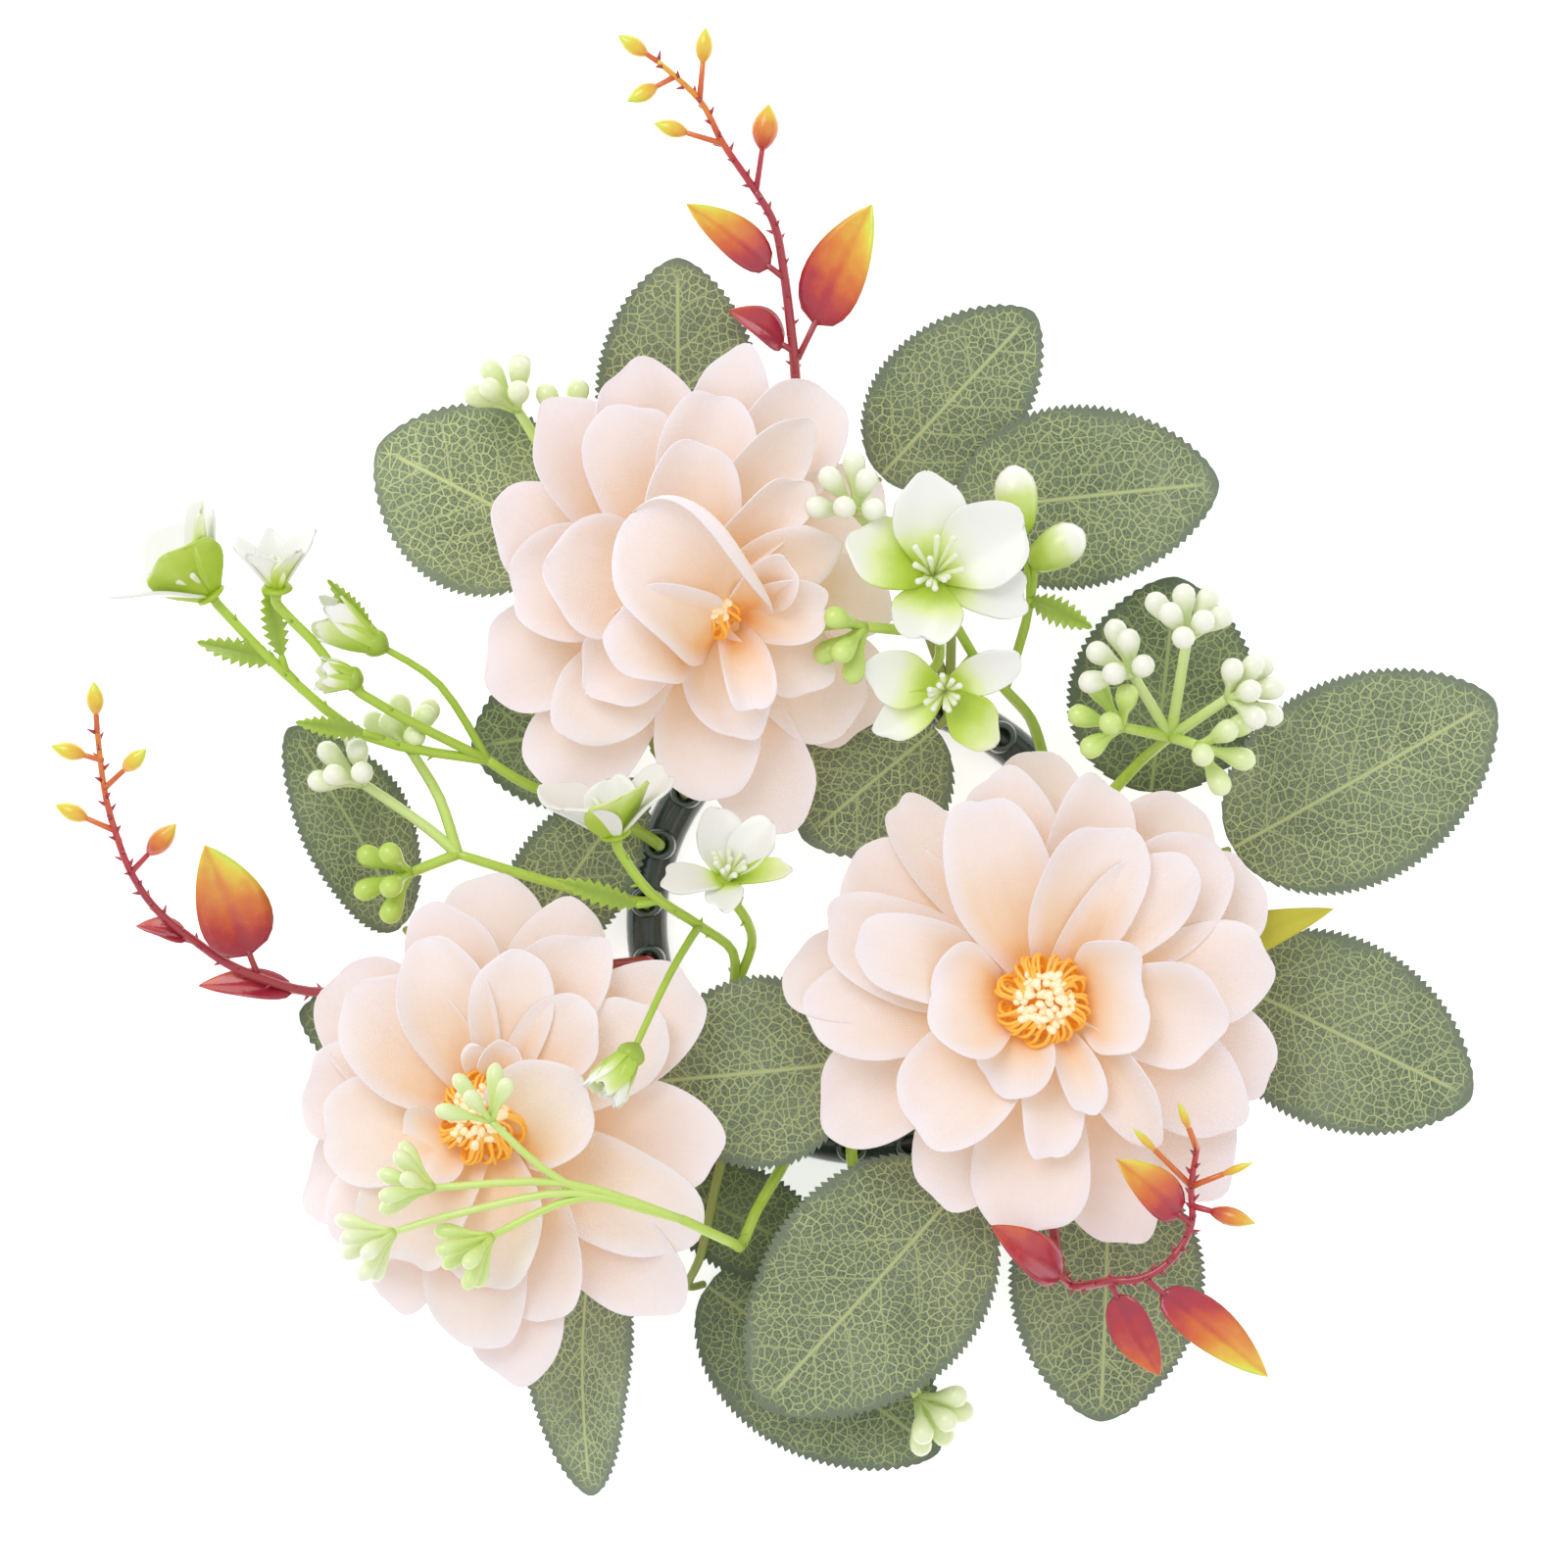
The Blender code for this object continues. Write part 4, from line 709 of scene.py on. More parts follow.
# ---------------------------------------------------------------- ring
def make_ring(looks):
    """The band and, in each place, a socket with a lip; both are skins that overlap."""
    shell = Shell()
    inner, outer, height, around = 44.6, 53.6, 8.0, 192
    middle, half = (inner + outer) / 2, (outer - inner) / 2
    outline = [(middle - half * 0.72, 0.0), (middle + half * 0.72, 0.0), (middle + half * 0.93, 0.5)]
    for k in range(13):
        a = math.pi * k / 12
        outline.append((middle + half * math.cos(a), 2.6 + (height - 2.6) * math.sin(a) ** 0.9))
    outline.append((middle - half * 0.93, 0.5))
    angles = np.linspace(0, 2 * math.pi, around, endpoint=False)
    verts = [(r * math.cos(a), r * math.sin(a), z) for a in angles for r, z in outline]
    n = len(outline)
    faces = [(s * n + k, (s + 1) % around * n + k, (s + 1) % around * n + (k + 1) % n, s * n + (k + 1) % n)
             for s in range(around) for k in range(n)]
    shell.add(verts, faces, along=0.45)
    profile = ((3.7, 2.0), (3.65, 8.0), (3.4, 10.6), (3.1, 11.4), (2.6, SOCKET_TOP), (2.05, 11.2), (1.95, 10.4),
               (1.95, 4.0), (0.2, 3.6))
    # Colour up each socket's profile, from outside over the lip and down the hole: lightest on the lip, a
    # painted highlight, and darkest in the hole, painted shade
    tone = np.repeat([0.4, 0.4, 0.55, 0.95, 1.0, 0.8, 0.1, 0.0, 0.0], 24)
    for i in range(SOCKET_COUNT):
        socket = np.array(turned(profile, 24)) + (*socket_spot(i), 0.0)
        shell.add(socket, grid_faces(len(profile), 24, True), along=tone)
    shell.piece("ring_moulding", looks["ring"], "crown", "ring_base", slot="ring_plastic")


# ---------------------------------------------------------------- leaves
TOOTH_PITCH, VEIN_PAIRS = 1.6, 6.2


def leaf_outline(s):
    """Half width along a leaf, as a share of its greatest."""
    return (s**0.52) * ((1 - s) ** 0.66) / 0.4475


def make_leaf(spec, looks, index):
    """A pinked, slightly cockled blade with midrib and side veins marked for its print."""
    name, base, tip, width, arch, fold, roll = spec
    rng = np.random.RandomState(100 + index)
    a, length, along, across, lift = blade_frame(base, tip, roll)
    rows, cols = max(20, int(length / TOOTH_PITCH)) * 4 + 1, 25
    s = np.linspace(0.004, 0.999, rows)
    t = np.linspace(-1, 1, cols)
    t = np.sign(t) * np.abs(t) ** 0.85
    half = 0.5 * width * leaf_outline(s)
    tooth = np.array((0.0, 0.4, 0.8, 1.0))[np.arange(rows) % 4]
    pink = (tooth - 0.85) * np.clip(np.minimum(s, 1 - s) * 12, 0, 1)
    S, T = np.meshgrid(s, t, indexing="ij")
    H = half[:, None] * np.ones_like(T)
    X = T * (H + pink[:, None] * np.abs(T) ** 14)
    Y = S * length
    bend = np.sin(math.pi * S)
    wave_a, wave_b = rng.uniform(0, 6.3, 2)
    Z = arch * bend + fold * T * T * bend
    Z += 0.55 * T * T * np.sin(S * 9 + wave_a + T * 1.5) * bend + 0.35 * np.sin(S * 5 + wave_b) * T
    rib = np.abs(X)
    Z -= 0.35 * np.exp(-((rib / 0.5) ** 2)) * np.minimum(1, (1 - S) * 4)
    pitch = length / VEIN_PAIRS
    lane = (Y - rib * 0.72 - rib**2 * 0.012) / pitch
    near = np.abs(lane - np.round(lane)) * pitch
    Z -= 0.16 * np.exp(-((near / 0.7) ** 2)) * bend
    if index % 3 == 0:
        Z += 1.2 * np.clip(S - 0.6, 0, 1) ** 2 * 6 * np.sign(arch)
    verts = a + along * Y[..., None] + across * X[..., None] + lift * (Z - 0.35)[..., None]
    rim = np.minimum(H * (1 - np.abs(T)), (1 - S) * length * 0.8 + 0.2)
    uv = np.stack([X / 50.0 + 0.5 + index * 1.37, Y / 50.0 + index * 0.61], -1)
    shell = Shell()
    two_sided(shell, verts, lift * 0.22, None, uv, {"side": 0.12}, rim=rim, px=X, py=Y, pitch=pitch,
              tone=LEAF_TONE.get(name, LEAF_LIGHT), side=1.0)
    look = looks["leaf_shaded" if name in SHADED_LEAVES else "leaf"]
    obj = shell.piece(name + "_blade", look, "crown", name, slot="leaf_fabric", crisp=True)
    area = float(np.sum(half[:-1] + half[1:]) * length / (rows - 1)) * 1e-6
    area = float(min(area, width * length * 1e-6))


def leaf_end(name):
    """Where a branch stops, just behind its leaf's foot."""
    for leaf, base, tip, *_ in LEAVES:
        if leaf == name:
            a = Vector(base)
            return a - (Vector(tip) - a).normalized() * 0.6 - UP * 0.35
    return None


def make_leaf_picks(looks):
    for name, socket, trunk, branches in LEAF_PICKS:
        shell = Shell()
        path = stem_path(socket, trunk)
        tube(shell, path, [PIN_R] * len(path), 12, (0.2, 0.5))
        for leaf, way in branches:
            points = smooth_path([path[-1] - (path[-1] - path[-2]) * 0.5] + list(way) + [leaf_end(leaf)], 5)
            tube(shell, points, taper(len(points), 1.15, 0.85), 10, (0.5, 0.9))
        shell.piece(name + "_stems", looks["pick"], "crown", name, slot="leaf_stem_plastic")


# ---------------------------------------------------------------- blooms
def petal(length, width, rise, tip_rise, cup, roll, twist, rng, foot, start, rows=24, cols=17, ruffle=0.5,
          wide=0.64, neck=0.22, curl=0.0, hook=0.0):
    """One petal along +X in its bloom's frame: (points, uv, along, rim)."""
    q = np.linspace(0.0, 1.0, rows)
    s = 1 - (1 - q) ** 1.8
    t = np.sin(np.linspace(-1, 1, cols) * math.pi / 2)
    body = neck + (1 - neck) * np.sin(np.clip(s / wide, 0, 1) * math.pi / 2) ** 1.15
    tip = np.sqrt(np.clip(1 - np.clip((s - wide) / (1 - wide), 0, 1) ** 2.3, 0, 1))
    half = 0.5 * width * body * np.maximum(tip, 0.02) * (1 + 0.035 * np.sin(9.0 * s + rng.uniform(0, 6.28)))
    angle = np.radians(rise + (tip_rise - rise) * s**1.3)
    reach = length - start
    ds = np.diff(s, prepend=0.0) * reach
    r = start + np.cumsum(np.cos(angle) * ds)
    z = foot + np.cumsum(np.sin(angle) * ds)
    S, T = np.meshgrid(s, t, indexing="ij")
    W = half[:, None]
    phase = rng.uniform(0, 6.28, 5)
    bow = np.maximum(cup * (0.45 + 0.55 * np.sin(S * math.pi * 0.8)), 1e-3) * (1 + hook * np.clip(-T, 0, 1))
    side = W * np.sin(bow * T) / bow
    up = W * (1 - np.cos(bow * T)) / bow
    up = up - 0.30 * W * cup * np.abs(T) ** 4 * S**2
    up = up + math.tan(math.radians(roll)) * side
    flutter = 0.9 * (2 * side / width) ** 2 * np.sin(5.5 * S + phase[1] + 1.2 * T)
    up = up + ruffle * S**2 * (0.7 * np.sin(side * 0.24 + phase[0]) + flutter)
    up = up + 0.5 * ruffle * np.sin(side * 0.45 + 3.0 * S + phase[2]) * S * (1.15 - S)
    up = up + curl * W * np.abs(T) ** 3 * np.sin(S * math.pi * 0.75) ** 2
    up = up + 0.35 * ruffle * np.sin(T * 7.0 + phase[4]) * S * (1 - S) ** 3 * 3.0
    place = side / (0.5 * width)
    nudge = (1.1 * np.sin(place * 3.1 + phase[3]) + 0.5 * np.sin(place * 6.5 + phase[4])) * S**4
    sway = math.radians(twist) * S**2
    X = r[:, None] - np.sin(angle)[:, None] * up + np.cos(angle)[:, None] * nudge
    Z = z[:, None] + np.cos(angle)[:, None] * up + np.sin(angle)[:, None] * nudge
    verts = np.stack([X * np.cos(sway) - side * np.sin(sway), X * np.sin(sway) + side * np.cos(sway), Z], -1)
    uv = np.stack([side / 50.0 + rng.uniform(0, 8), S * reach / 50.0 + rng.uniform(0, 8)], -1)
    rim = np.minimum(W * (1 - np.abs(T)), (1 - S) * reach)
    return verts, uv, S, rim


def spun(verts, degrees):
    """Points turned about Z."""
    c, d = math.cos(math.radians(degrees)), math.sin(math.radians(degrees))
    x, y, z = verts[..., 0], verts[..., 1], verts[..., 2]
    return np.stack([x * c - y * d, x * d + y * c, z], -1)


def petal_layer(name, body, node, frame_to, petals, foot, material, slot, seed):
    """One die-cut layer: its petals and a middle disc with the peg's hole."""
    rng = np.random.RandomState(seed)
    shell = Shell()
    total, longest = 0.0, 0.0
    heart = "heart" in name
    for k, (angle, length, width, rise, tip_rise, cup, roll, *more) in enumerate(petals):
        length, width = length * rng.uniform(0.98, 1.02), width * rng.uniform(1.0, 1.07)
        clear = STAMEN_CLEARANCE if heart and not more else 0.0
        length -= 0.5 * clear
        verts, uv, S, rim = petal(
            length, width, rise, tip_rise + rng.uniform(-5, 5), cup, roll, rng.uniform(-6, 6), rng,
            foot + (k % 3) * 0.45, PETAL_START + clear, neck=0.45 if heart else 0.22,
            ruffle=rng.uniform(1.1, 2.3), wide=rng.uniform(0.60, 0.70), curl=rng.uniform(-0.12, 0.30),
            hook=more[2] if more else 0.0)
        verts = spun(verts, angle)
        if more:
            verts = verts + np.array((more[0], more[1], 0.0))
        tone = rng.uniform(0.975, 1.0)
        slab(shell, verts, CLOTH_THICK, frame_to, uv, {"tone": 0.97}, along=S, rim=rim, tone=tone)
        total += length * width * 0.74
        longest = max(longest, length)
    radii = (2.05, 5.0, 8.6) if heart else (2.05, 4.0, 6.2)
    angles = np.linspace(0, 2 * math.pi, 41)
    disc = [[(r * math.cos(a), r * math.sin(a), foot - 0.1 + 0.02 * r) for a in angles] for r in radii]
    slab(shell, np.array(disc), CLOTH_THICK, frame_to, along=0.02, rim=5.0, tone=0.97)
    total += math.pi * radii[-1] ** 2
    obj = shell.piece(name, material, body, node, slot=slot)


def make_stamens(shell, frame_to, seed):
    """A basket of gold threads that bend inward, each with a cream end, round a low cushion."""
    rng = np.random.RandomState(seed)
    foot = STAMEN_FOOT
    cushion = ((3.3, 0.0), (4.6, 0.8), (4.2, 2.2), (2.2, 3.2), (0.1, 3.4))
    disc = turned([(r, foot + z) for r, z in cushion], 16)
    shell.add(through(frame_to, disc), grid_faces(len(cushion), 16, True), along=0.2)
    for count, belly, top, high in ((42, 9.6, 4.6, 7.2), (20, 7.2, 3.0, 8.2), (9, 4.0, 1.2, 7.9)):
        for k in range(count):
            a = 2 * math.pi * (k + 0.35 * rng.uniform(-1, 1)) / count
            wide = belly * rng.uniform(0.93, 1.05)
            tip = top * rng.uniform(0.8, 1.25)
            rise = high * rng.uniform(0.85, 1.08)
            swing = rng.uniform(0.1, 1.0)
            points = [(1.5, 0.8), (wide * 0.80, rise * 0.22), (wide, rise * 0.50), (wide * 0.90, rise * 0.80),
                      (tip * 1.1, rise)]
            points = [(r * math.cos(a + swing * z / rise), r * math.sin(a + swing * z / rise), foot + z)
                      for r, z in points]
            fine = smooth_path([tuple(v) for v in through(frame_to, points)], 3)
            tube(shell, fine, taper(len(fine), 0.50, 0.40), 6, (0.1, 0.74))
            turn = Vector((rng.uniform(-1, 1), rng.uniform(-1, 1), rng.uniform(-0.4, 0.4))).normalized()
            turn = turn * rng.uniform(0.9, 1.25)
            bud(shell, fine[-1] - turn, fine[-1] + turn, rng.uniform(0.75, 0.95), (0.9, 1.0), 6, BLUNT)


def make_calyx(shell, frame_to, path):
    """A bloom's stem, the five-lobed cup under its petals and the peg they are threaded on."""
    tube(shell, path, taper(len(path), PIN_R, 1.7), 12, (0.1, 0.5))
    profile = ((1.9, -7.2), (3.4, -6.6), (5.4, -4.4), (7.4, -1.9), (8.0, -1.1), (7.8, -0.6), (1.9, -0.4),
               (1.9, 12.4), (0.2, 12.4))
    ring = []
    for r, z in profile:
        for a in np.linspace(0, 2 * math.pi, 40, endpoint=False):
            lobe = 1 + 0.05 * math.cos(5 * a) * (z < 0)
            ring.append((r * math.cos(a) * lobe, r * math.sin(a) * lobe, z))
    shell.add(through(frame_to, ring), grid_faces(len(profile), 40, True), along=0.65)


def make_bloom(spec, looks, index):
    name, socket, way, hub, lean_to, lean = spec
    flat = Vector((lean_to[0], lean_to[1], 0)).normalized()
    axis = flat * math.sin(math.radians(lean)) + UP * math.cos(math.radians(lean))
    frame_to = facing_frame(hub, axis)
    body = name + "_head"
    for k, (layer, petals) in enumerate(PETALS[name].items()):
        petal_layer(f"{name}_{layer}_cloth", body, f"{name}_{layer}", frame_to, petals, PETAL_FEET[k],
                    looks[layer], f"petal_fabric_{layer[7:]}", 500 + index * 10 + k)
    shell = Shell()
    make_stamens(shell, frame_to, 40 + index)
    shell.piece(f"{name}_stamen_threads", looks["stamens"], body, f"{name}_stamens", slot="stamen_plastic")
    hub = Vector(hub)
    path = stem_path(socket, list(way) + [hub - axis * 12.0, hub - axis * 6.0])
    shell = Shell()
    make_calyx(shell, frame_to, path)
    shell.piece(f"{name}_stem_and_calyx", looks["stem"], "crown", f"{name}_stem", slot="bloom_stem_plastic")
    if name == "bloom_right":
        shell = Shell()
        plastic_blade(shell, *SEPAL, 0, (0.4, 1.0), arch=0.5, fold=0.5, thick=0.25, rows=25)
        shell.piece("bloom_right_sepal", looks["sepal"], "crown", slot="bloom_stem_plastic")


# ---------------------------------------------------------------- sprigs
def plastic_blade(shell, base, tip, width, roll, along, arch=1.2, fold=1.4, thick=0.45, rows=17):
    """A moulded leaf, folded along its midrib; the attribute runs along it and out to its sides."""
    a, length, way, across, lift = blade_frame(base, tip, roll)
    s = np.sin(np.linspace(0, 1, rows) * math.pi / 2) ** 1.2
    half = 0.5 * width * (s**0.50) * (np.clip(1 - s, 0, 1) ** 0.86) / 0.4385
    half = np.maximum(half, 0.12)
    S, T = np.meshgrid(s, np.linspace(-1, 1, 9), indexing="ij")
    X = T * half[:, None]
    crease = np.exp(-((X / 0.5) ** 2))
    bend = np.sin(math.pi * S)
    Z = arch * bend + fold * np.abs(T) ** 1.6 * bend - 0.25 * crease
    Z += 1.6 * np.clip(S - 0.7, 0, 1) ** 2 * 4
    verts = a + way * (S * length)[..., None] + across * X[..., None] + lift * Z[..., None]
    swell = thick * (1 - np.abs(T) ** 3 * 0.7)
    run = 0.86 * S**1.4 + 0.24 * T * (0.2 + 0.8 * S) + 0.34 * np.abs(T) ** 3 * S**1.2
    run = run + 0.22 * (1 - np.abs(T) ** 1.5) * bend - 0.12 * crease
    run = along[0] + (along[1] - along[0]) * np.clip(run, 0, 1)
    two_sided(shell, verts, lift * swell[..., None], along=run)


BUD_RUN = (0.0, 0.06, 0.18, 0.34, 0.5, 0.66, 0.8, 0.92, 1.0)
POINTED = (0.25, 0.45, 0.75, 0.97, 1.0, 0.86, 0.6, 0.28, 0.08)
BLUNT = (0.3, 0.55, 0.75, 0.9, 1.0, 1.0, 0.9, 0.62, 0.2)


def bud(shell, foot, tip, radius, along, sides=12, shape=POINTED):
    a, b = Vector(foot), Vector(tip)
    tube(shell, [a.lerp(b, f) for f in BUD_RUN], [radius * w for w in shape], sides, along, cap=False)


def prickles(shell, path, start, rng, along, gap=1.1):
    """Small bract tips that alternate up the stem."""
    turn = 0.0
    run = 0.0
    for i in range(1, len(path)):
        run += (path[i] - path[i - 1]).length
        if i < start or run < gap:
            continue
        run = 0.0
        ahead = (path[i] - path[i - 1]).normalized()
        side = ahead.cross(Vector((0.31, 0.17, 0.93))).normalized()
        turn += 2.4
        out = side * math.cos(turn) + ahead.cross(side) * math.sin(turn)
        foot = path[i] + out * 0.5
        end = foot + out * rng.uniform(1.1, 1.8) + ahead * 1.0
        tube(shell, [foot, foot.lerp(end, 0.5), end], [0.5, 0.34, 0.1], 6, along, cap=False)


def make_sprigs(looks):
    for i, (name, socket, way, leaves, buds) in enumerate(SPRIGS):
        rng = np.random.RandomState(70 + i)
        shell = Shell()
        path = stem_path(socket, way, 6)
        cut = int(len(path) * 0.72)
        radii = taper(len(path), PIN_R, 0.62)
        tube(shell, path[:cut], radii[:cut], 10, (0.04, 0.16))
        tube(shell, path[cut - 1:], radii[cut - 1:], 10, (0.16, SPRIG_TONES[i]))
        prickles(shell, path, len(path) // 4, rng, (0.10, 0.20))
        for j, (base, tip, width, roll) in enumerate(leaves):
            a, b = Vector(base), Vector(tip)
            start = a.lerp(b, 0.22 if width == 15 else 0.14)
            tube(shell, [a, a.lerp(b, 0.1) + UP * 0.3, start.lerp(b, 0.04)], [0.8, 0.7, 0.75], 8, (0.08, 0.14))
            plastic_blade(shell, start, b, width * 1.02, roll, (0.14, SPRIG_LEAF_TONES[i][j]))
        for j, (foot, middle) in enumerate(buds):
            a, c = Vector(foot), Vector(middle)
            out = (c - a).normalized()
            ripe = j == RIPE_BUDS[i]
            if ripe:
                back, front, stalk, run, thick = 4.6, 5.2, (0.22, 0.34), (0.22, 0.9), BUD_RADII[i][0]
            else:
                back, front, stalk, run, thick = 3.6, 3.9, (0.34, 0.62), (0.62, 0.98), BUD_RADII[i][1]
            tube(shell, [a, c - out * 3.0], [0.7, 0.6], 8, stalk)
            bud(shell, c - out * back, c + out * front, thick, run)
        shell.piece(name + "_moulding", looks["sprig"], "crown", name, slot="sprig_plastic")


# ---------------------------------------------------------------- berries and blossoms
BERRY_RUN = (0.0, 0.18, 0.33, 0.46, 0.58, 0.70, 0.81, 0.90, 0.965, 1.0)
BERRY_RADII = (1.1, 0.95, 1.0, 1.4, 1.95, 2.35, 2.45, 2.15, 1.35, 0.35)
BERRY_LENGTH = 8.0 + 4.6


def berry_fan(shell, hub, heading, count, rng, pale, slim):
    """Stalks that swell into club-shaped berries round the heading."""
    ahead = Vector(heading).normalized()
    side = ahead.cross(Vector((0.3, 0.2, 1.0))).normalized()
    other = ahead.cross(side)
    hub = Vector(hub)
    for k in range(count):
        angle = 2 * math.pi * k / count + 0.4
        spread = (1.0, 0.5)[k % 2]
        way = (ahead + (side * math.cos(angle) + other * math.sin(angle)) * spread).normalized()
        end = hub + way * BERRY_LENGTH * rng.uniform(0.94, 1.04)
        tube(shell, [hub.lerp(end, f) for f in BERRY_RUN], [r * slim for r in BERRY_RADII], 12,
             (0.08 + 0.38 * pale, 0.10 + 0.90 * pale), cap=False)


def make_berries(looks):
    for i, (name, socket, trunk, hubs) in enumerate(BERRY_SPRAYS):
        rng = np.random.RandomState(80 + i)
        shell = Shell()
        path = stem_path(socket, trunk)
        tube(shell, path, taper(len(path), PIN_R, 1.05), 10, (0.0, 0.2))
        for way, hub, heading, count, pale in hubs:
            points = smooth_path([path[-1]] + [Vector(p) for p in way] + [Vector(hub)], 4)
            slim = 0.72 if name == "berry_spray_over_left_bloom" else 1.0
            tube(shell, points, taper(len(points), 1.25 * slim, 1.1 * slim), 10,
                 (0.10 + 0.20 * pale, 0.12 + 0.44 * pale))
            berry_fan(shell, hub, heading, count + 2, rng, pale, slim)
        shell.piece(name + "_moulding", looks["berry"], "crown", name, slot="berry_plastic")


def make_head(shell, name, foot, facing, rng):
    """Rounded petals round a green eye, with thin white threads."""
    to = facing_frame(foot, facing)
    petals = HEAD_PETALS[name]
    for k, (angle, length, width, opening, green) in enumerate(petals):
        verts, uv, S, rim = petal(length, width, 90 - opening, 90 - opening - 8, 0.75, 6, 0, rng,
                                  0.9 + 0.25 * (k % 3), 0.8, 16, 13, 0.35, 0.6, 0.26)
        run = np.clip(S / max(green * 1.25, 0.1), 0, 1) ** (0.6 + green) * (1.0 - 0.25 * (green >= 0.95))
        run = run + rng.uniform(-0.03, 0.03)
        slab(shell, spun(verts, angle), 0.7, to, uv, along=np.clip(run, 0, 1))
    high = max(p[1] for p in petals) * 0.42
    for k in range(12):
        a = 2 * math.pi * k / 12 + rng.uniform(-0.2, 0.2)
        lean = rng.uniform(0.3, 0.75)
        rise = high * rng.uniform(0.75, 1.1)
        pts = [(r * math.cos(a), r * math.sin(a), z) for r, z in (
            (0.3, 0.8), (lean * rise * 0.5, 0.8 + rise * 0.6), (lean * rise, 0.8 + rise))]
        tube(shell, [tuple(v) for v in through(to, pts)], [0.62, 0.5, 0.72], 6, (0.2, 0.68))
    eye = turned(((2.4, 0.5), (3.4, 1.0), (2.8, 1.7), (0.2, 2.1)), 14)
    shell.add(through(to, eye), grid_faces(4, 14, True), along=0.0)


def bract(shell, foot, tip, radius):
    """A small leaf with saw teeth, folded along its rib."""
    a, length, way, across, lift = blade_frame(foot, tip)
    teeth = 9
    s = np.linspace(0, 1, teeth * 4 + 1)
    half = radius * 0.95 * np.sin(math.pi * np.clip(s, 0.02, 1) ** 0.8) ** 0.8 + 0.12
    half = half * (0.62 + 0.50 * (np.arange(len(s)) % 4) / 3.0)
    S, T = np.meshgrid(s, np.linspace(-1, 1, 9), indexing="ij")
    X = T * half[:, None]
    Z = 0.35 * np.abs(X) + 0.8 * np.sin(math.pi * S)
    verts = a + way * (S * length)[..., None] - across * X[..., None] + lift * Z[..., None]
    slab(shell, verts, 0.55, along=0.26 * np.abs(T) * (0.3 + 0.7 * S))


def tuft(shell, foot, tip, radius, rng):
    """A half-open bell of narrow petals seen from its side."""
    a, b = Vector(foot), Vector(tip)
    length = (b - a).length
    to = facing_frame(a, b - a)
    for k in range(6):
        verts, uv, S, rim = petal(length * 1.12, radius * 1.25, 62, 82, 0.9, 4, 0, rng,
                                  -1.2, 0.5, 12, 9, 0.3, 0.62, 0.3)
        run = 0.15 + 0.85 * S * (0.75 if k % 2 else 1.1)
        slab(shell, spun(verts, 60 * k + rng.uniform(-8, 8)), 0.6, to, uv, along=run)
    bud(shell, a - (b - a).normalized() * 1.5, a + (b - a) * 0.35, radius * 0.55, (0.0, 0.3))


def make_blossoms(looks):
    for i, (name, socket, trunk, heads, bracts) in enumerate(BLOSSOM_SPRAYS):
        rng = np.random.RandomState(90 + i)
        shell = Shell()
        path = stem_path(socket, trunk)
        tube(shell, path, taper(len(path), PIN_R, 1.05), 10, (0.0, 0.25))
        for head, way, foot, facing in heads:
            ahead = Vector(facing).normalized()
            behind = [Vector(foot) - ahead * 3.0, Vector(foot) - ahead * 0.35]
            points = smooth_path([path[-1]] + [Vector(p) for p in way] + behind, 4)
            tube(shell, points, taper(len(points), 1.05, 1.1), 10, (0.2, 0.45))
            if name != "blossom_stem_right":
                prickles(shell, points, 2, rng, (0.0, 0.3), 3.5)
            part = Shell()
            make_head(part, head, foot, ahead, rng)
            part.piece(head + "_moulding", looks["blossom"], "crown", head, slot="blossom_plastic")
        for kind, stalk, tip, thick in bracts:
            points = smooth_path([Vector(p) for p in stalk], 4)
            tube(shell, points, taper(len(points), 0.95, 0.75), 8, (0.1, 0.3))
            if kind == "bract":
                bract(shell, stalk[-1], tip, thick)
            elif kind == "tuft":
                tuft(shell, stalk[-1], tip, thick, rng)
            else:
                bud(shell, Vector(stalk[-1]).lerp(Vector(tip), -0.1), tip, thick, (0.25, 1.0), 18, BLUNT)
        shell.piece(name + "_moulding", looks["blossom_stem"], "crown", name, slot="blossom_stem_plastic")


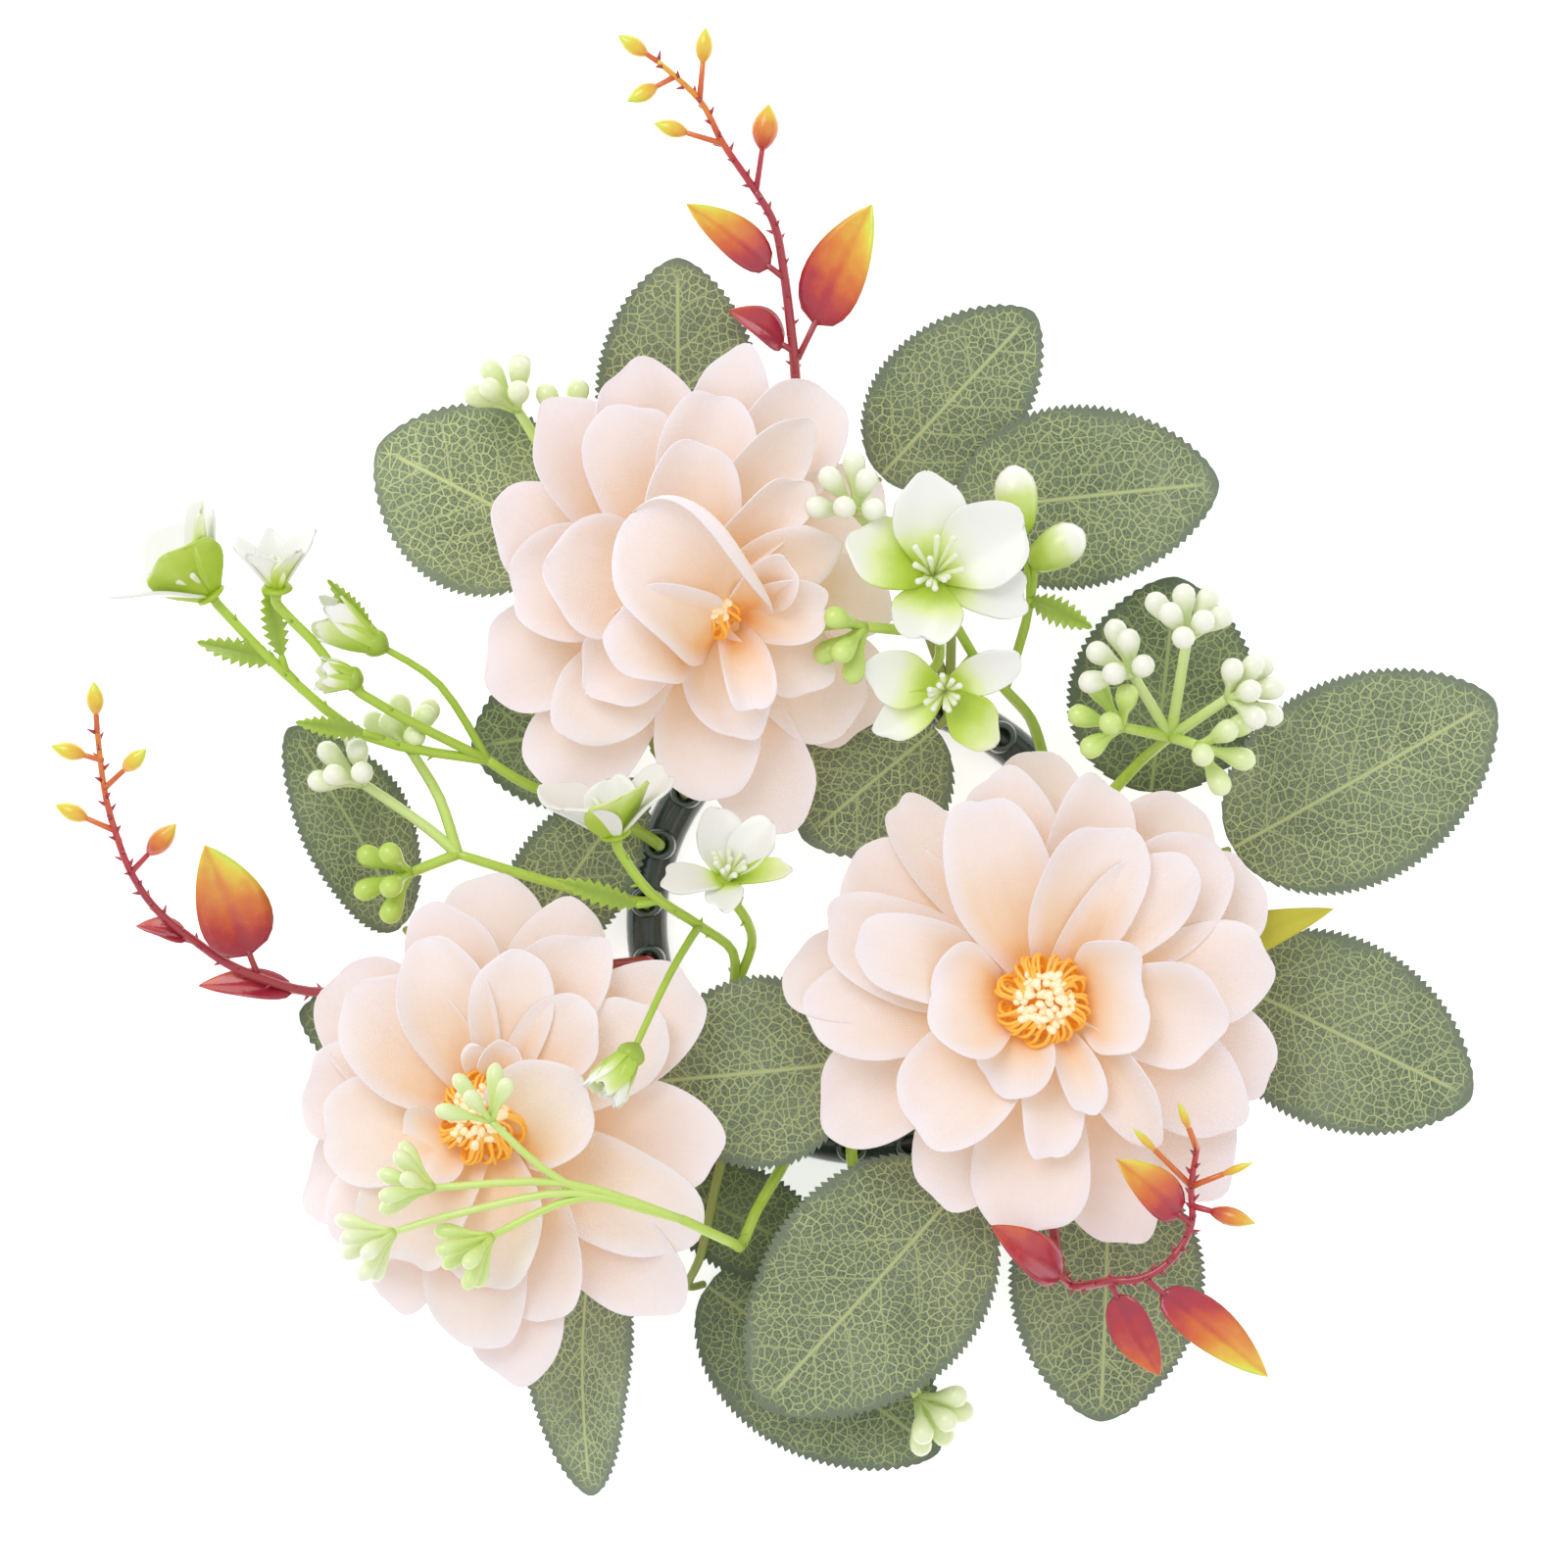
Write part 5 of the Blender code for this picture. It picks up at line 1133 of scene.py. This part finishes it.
# ---------------------------------------------------------------- stage
def make_stage():
    n = Nodes("pale_floor")
    spot = n.add("TexCoord").outputs["Object"]
    tone = n.ramp(n.noise(spot, 8.0, 2.0), ((0.3, (0.93, 0.93, 0.93)), (0.7, (0.96, 0.96, 0.96))))
    n.finish(tone, 0.9, Specular_IOR_Level=0.1)
    n.put(n.shader.inputs["Emission Color"], (1, 1, 1, 1))
    n.shader.inputs["Emission Strength"].default_value = 0.62
    mesh = bpy.data.meshes.new("floor")
    s = 6.0
    mesh.from_pydata([(-s, -s, 0), (s, -s, 0), (s, s, 0), (-s, s, 0)], [], [(0, 1, 2, 3)])
    mesh.materials.append(n.mat)
    floor = bpy.data.objects.new("floor", mesh)
    floor.location.z = RING_BOX[0].z - 0.0003
    bpy.context.scene.collection.objects.link(floor)
    world = bpy.data.worlds.new("soft_room")
    world.use_nodes = True
    world.node_tree.nodes["Background"].inputs["Color"].default_value = (1, 1, 1, 1)
    world.node_tree.nodes["Background"].inputs["Strength"].default_value = 0.80
    bpy.context.scene.world = world
    for name, place, energy, size in (
        ("key", (-0.55, 0.75, 1.3), 8.5, 0.9), ("fill", (0.9, -0.5, 1.1), 2.5, 1.4)):
        light = bpy.data.lights.new(name, "AREA")
        light.energy = energy
        light.size = size
        obj = bpy.data.objects.new(name, light)
        obj.location = place
        obj.rotation_euler = (-Vector(place)).to_track_quat("-Z", "Y").to_euler()
        bpy.context.scene.collection.objects.link(obj)
    view = bpy.context.scene.view_settings
    view.view_transform = "Standard"
    view.look = "None"


def make_camera():
    """Straight above, with the crown's top side up in the frame."""
    data = bpy.data.cameras.new("above")
    data.lens = 100
    data.clip_start = 0.01
    cam = bpy.data.objects.new("above", data)
    cam.location = (RING_CENTRE.x - 0.019, RING_CENTRE.y + 0.030, 0.958)
    bpy.context.scene.collection.objects.link(cam)
    bpy.context.scene.camera = cam


def main():
    make_camera()
    make_stage()
    looks = make_looks()
    make_ring(looks)
    for i, spec in enumerate(LEAVES):
        make_leaf(spec, looks, i)
    make_leaf_picks(looks)
    for i, spec in enumerate(BLOOMS):
        make_bloom(spec, looks, i)
    make_sprigs(looks)
    make_berries(looks)
    make_blossoms(looks)


main()
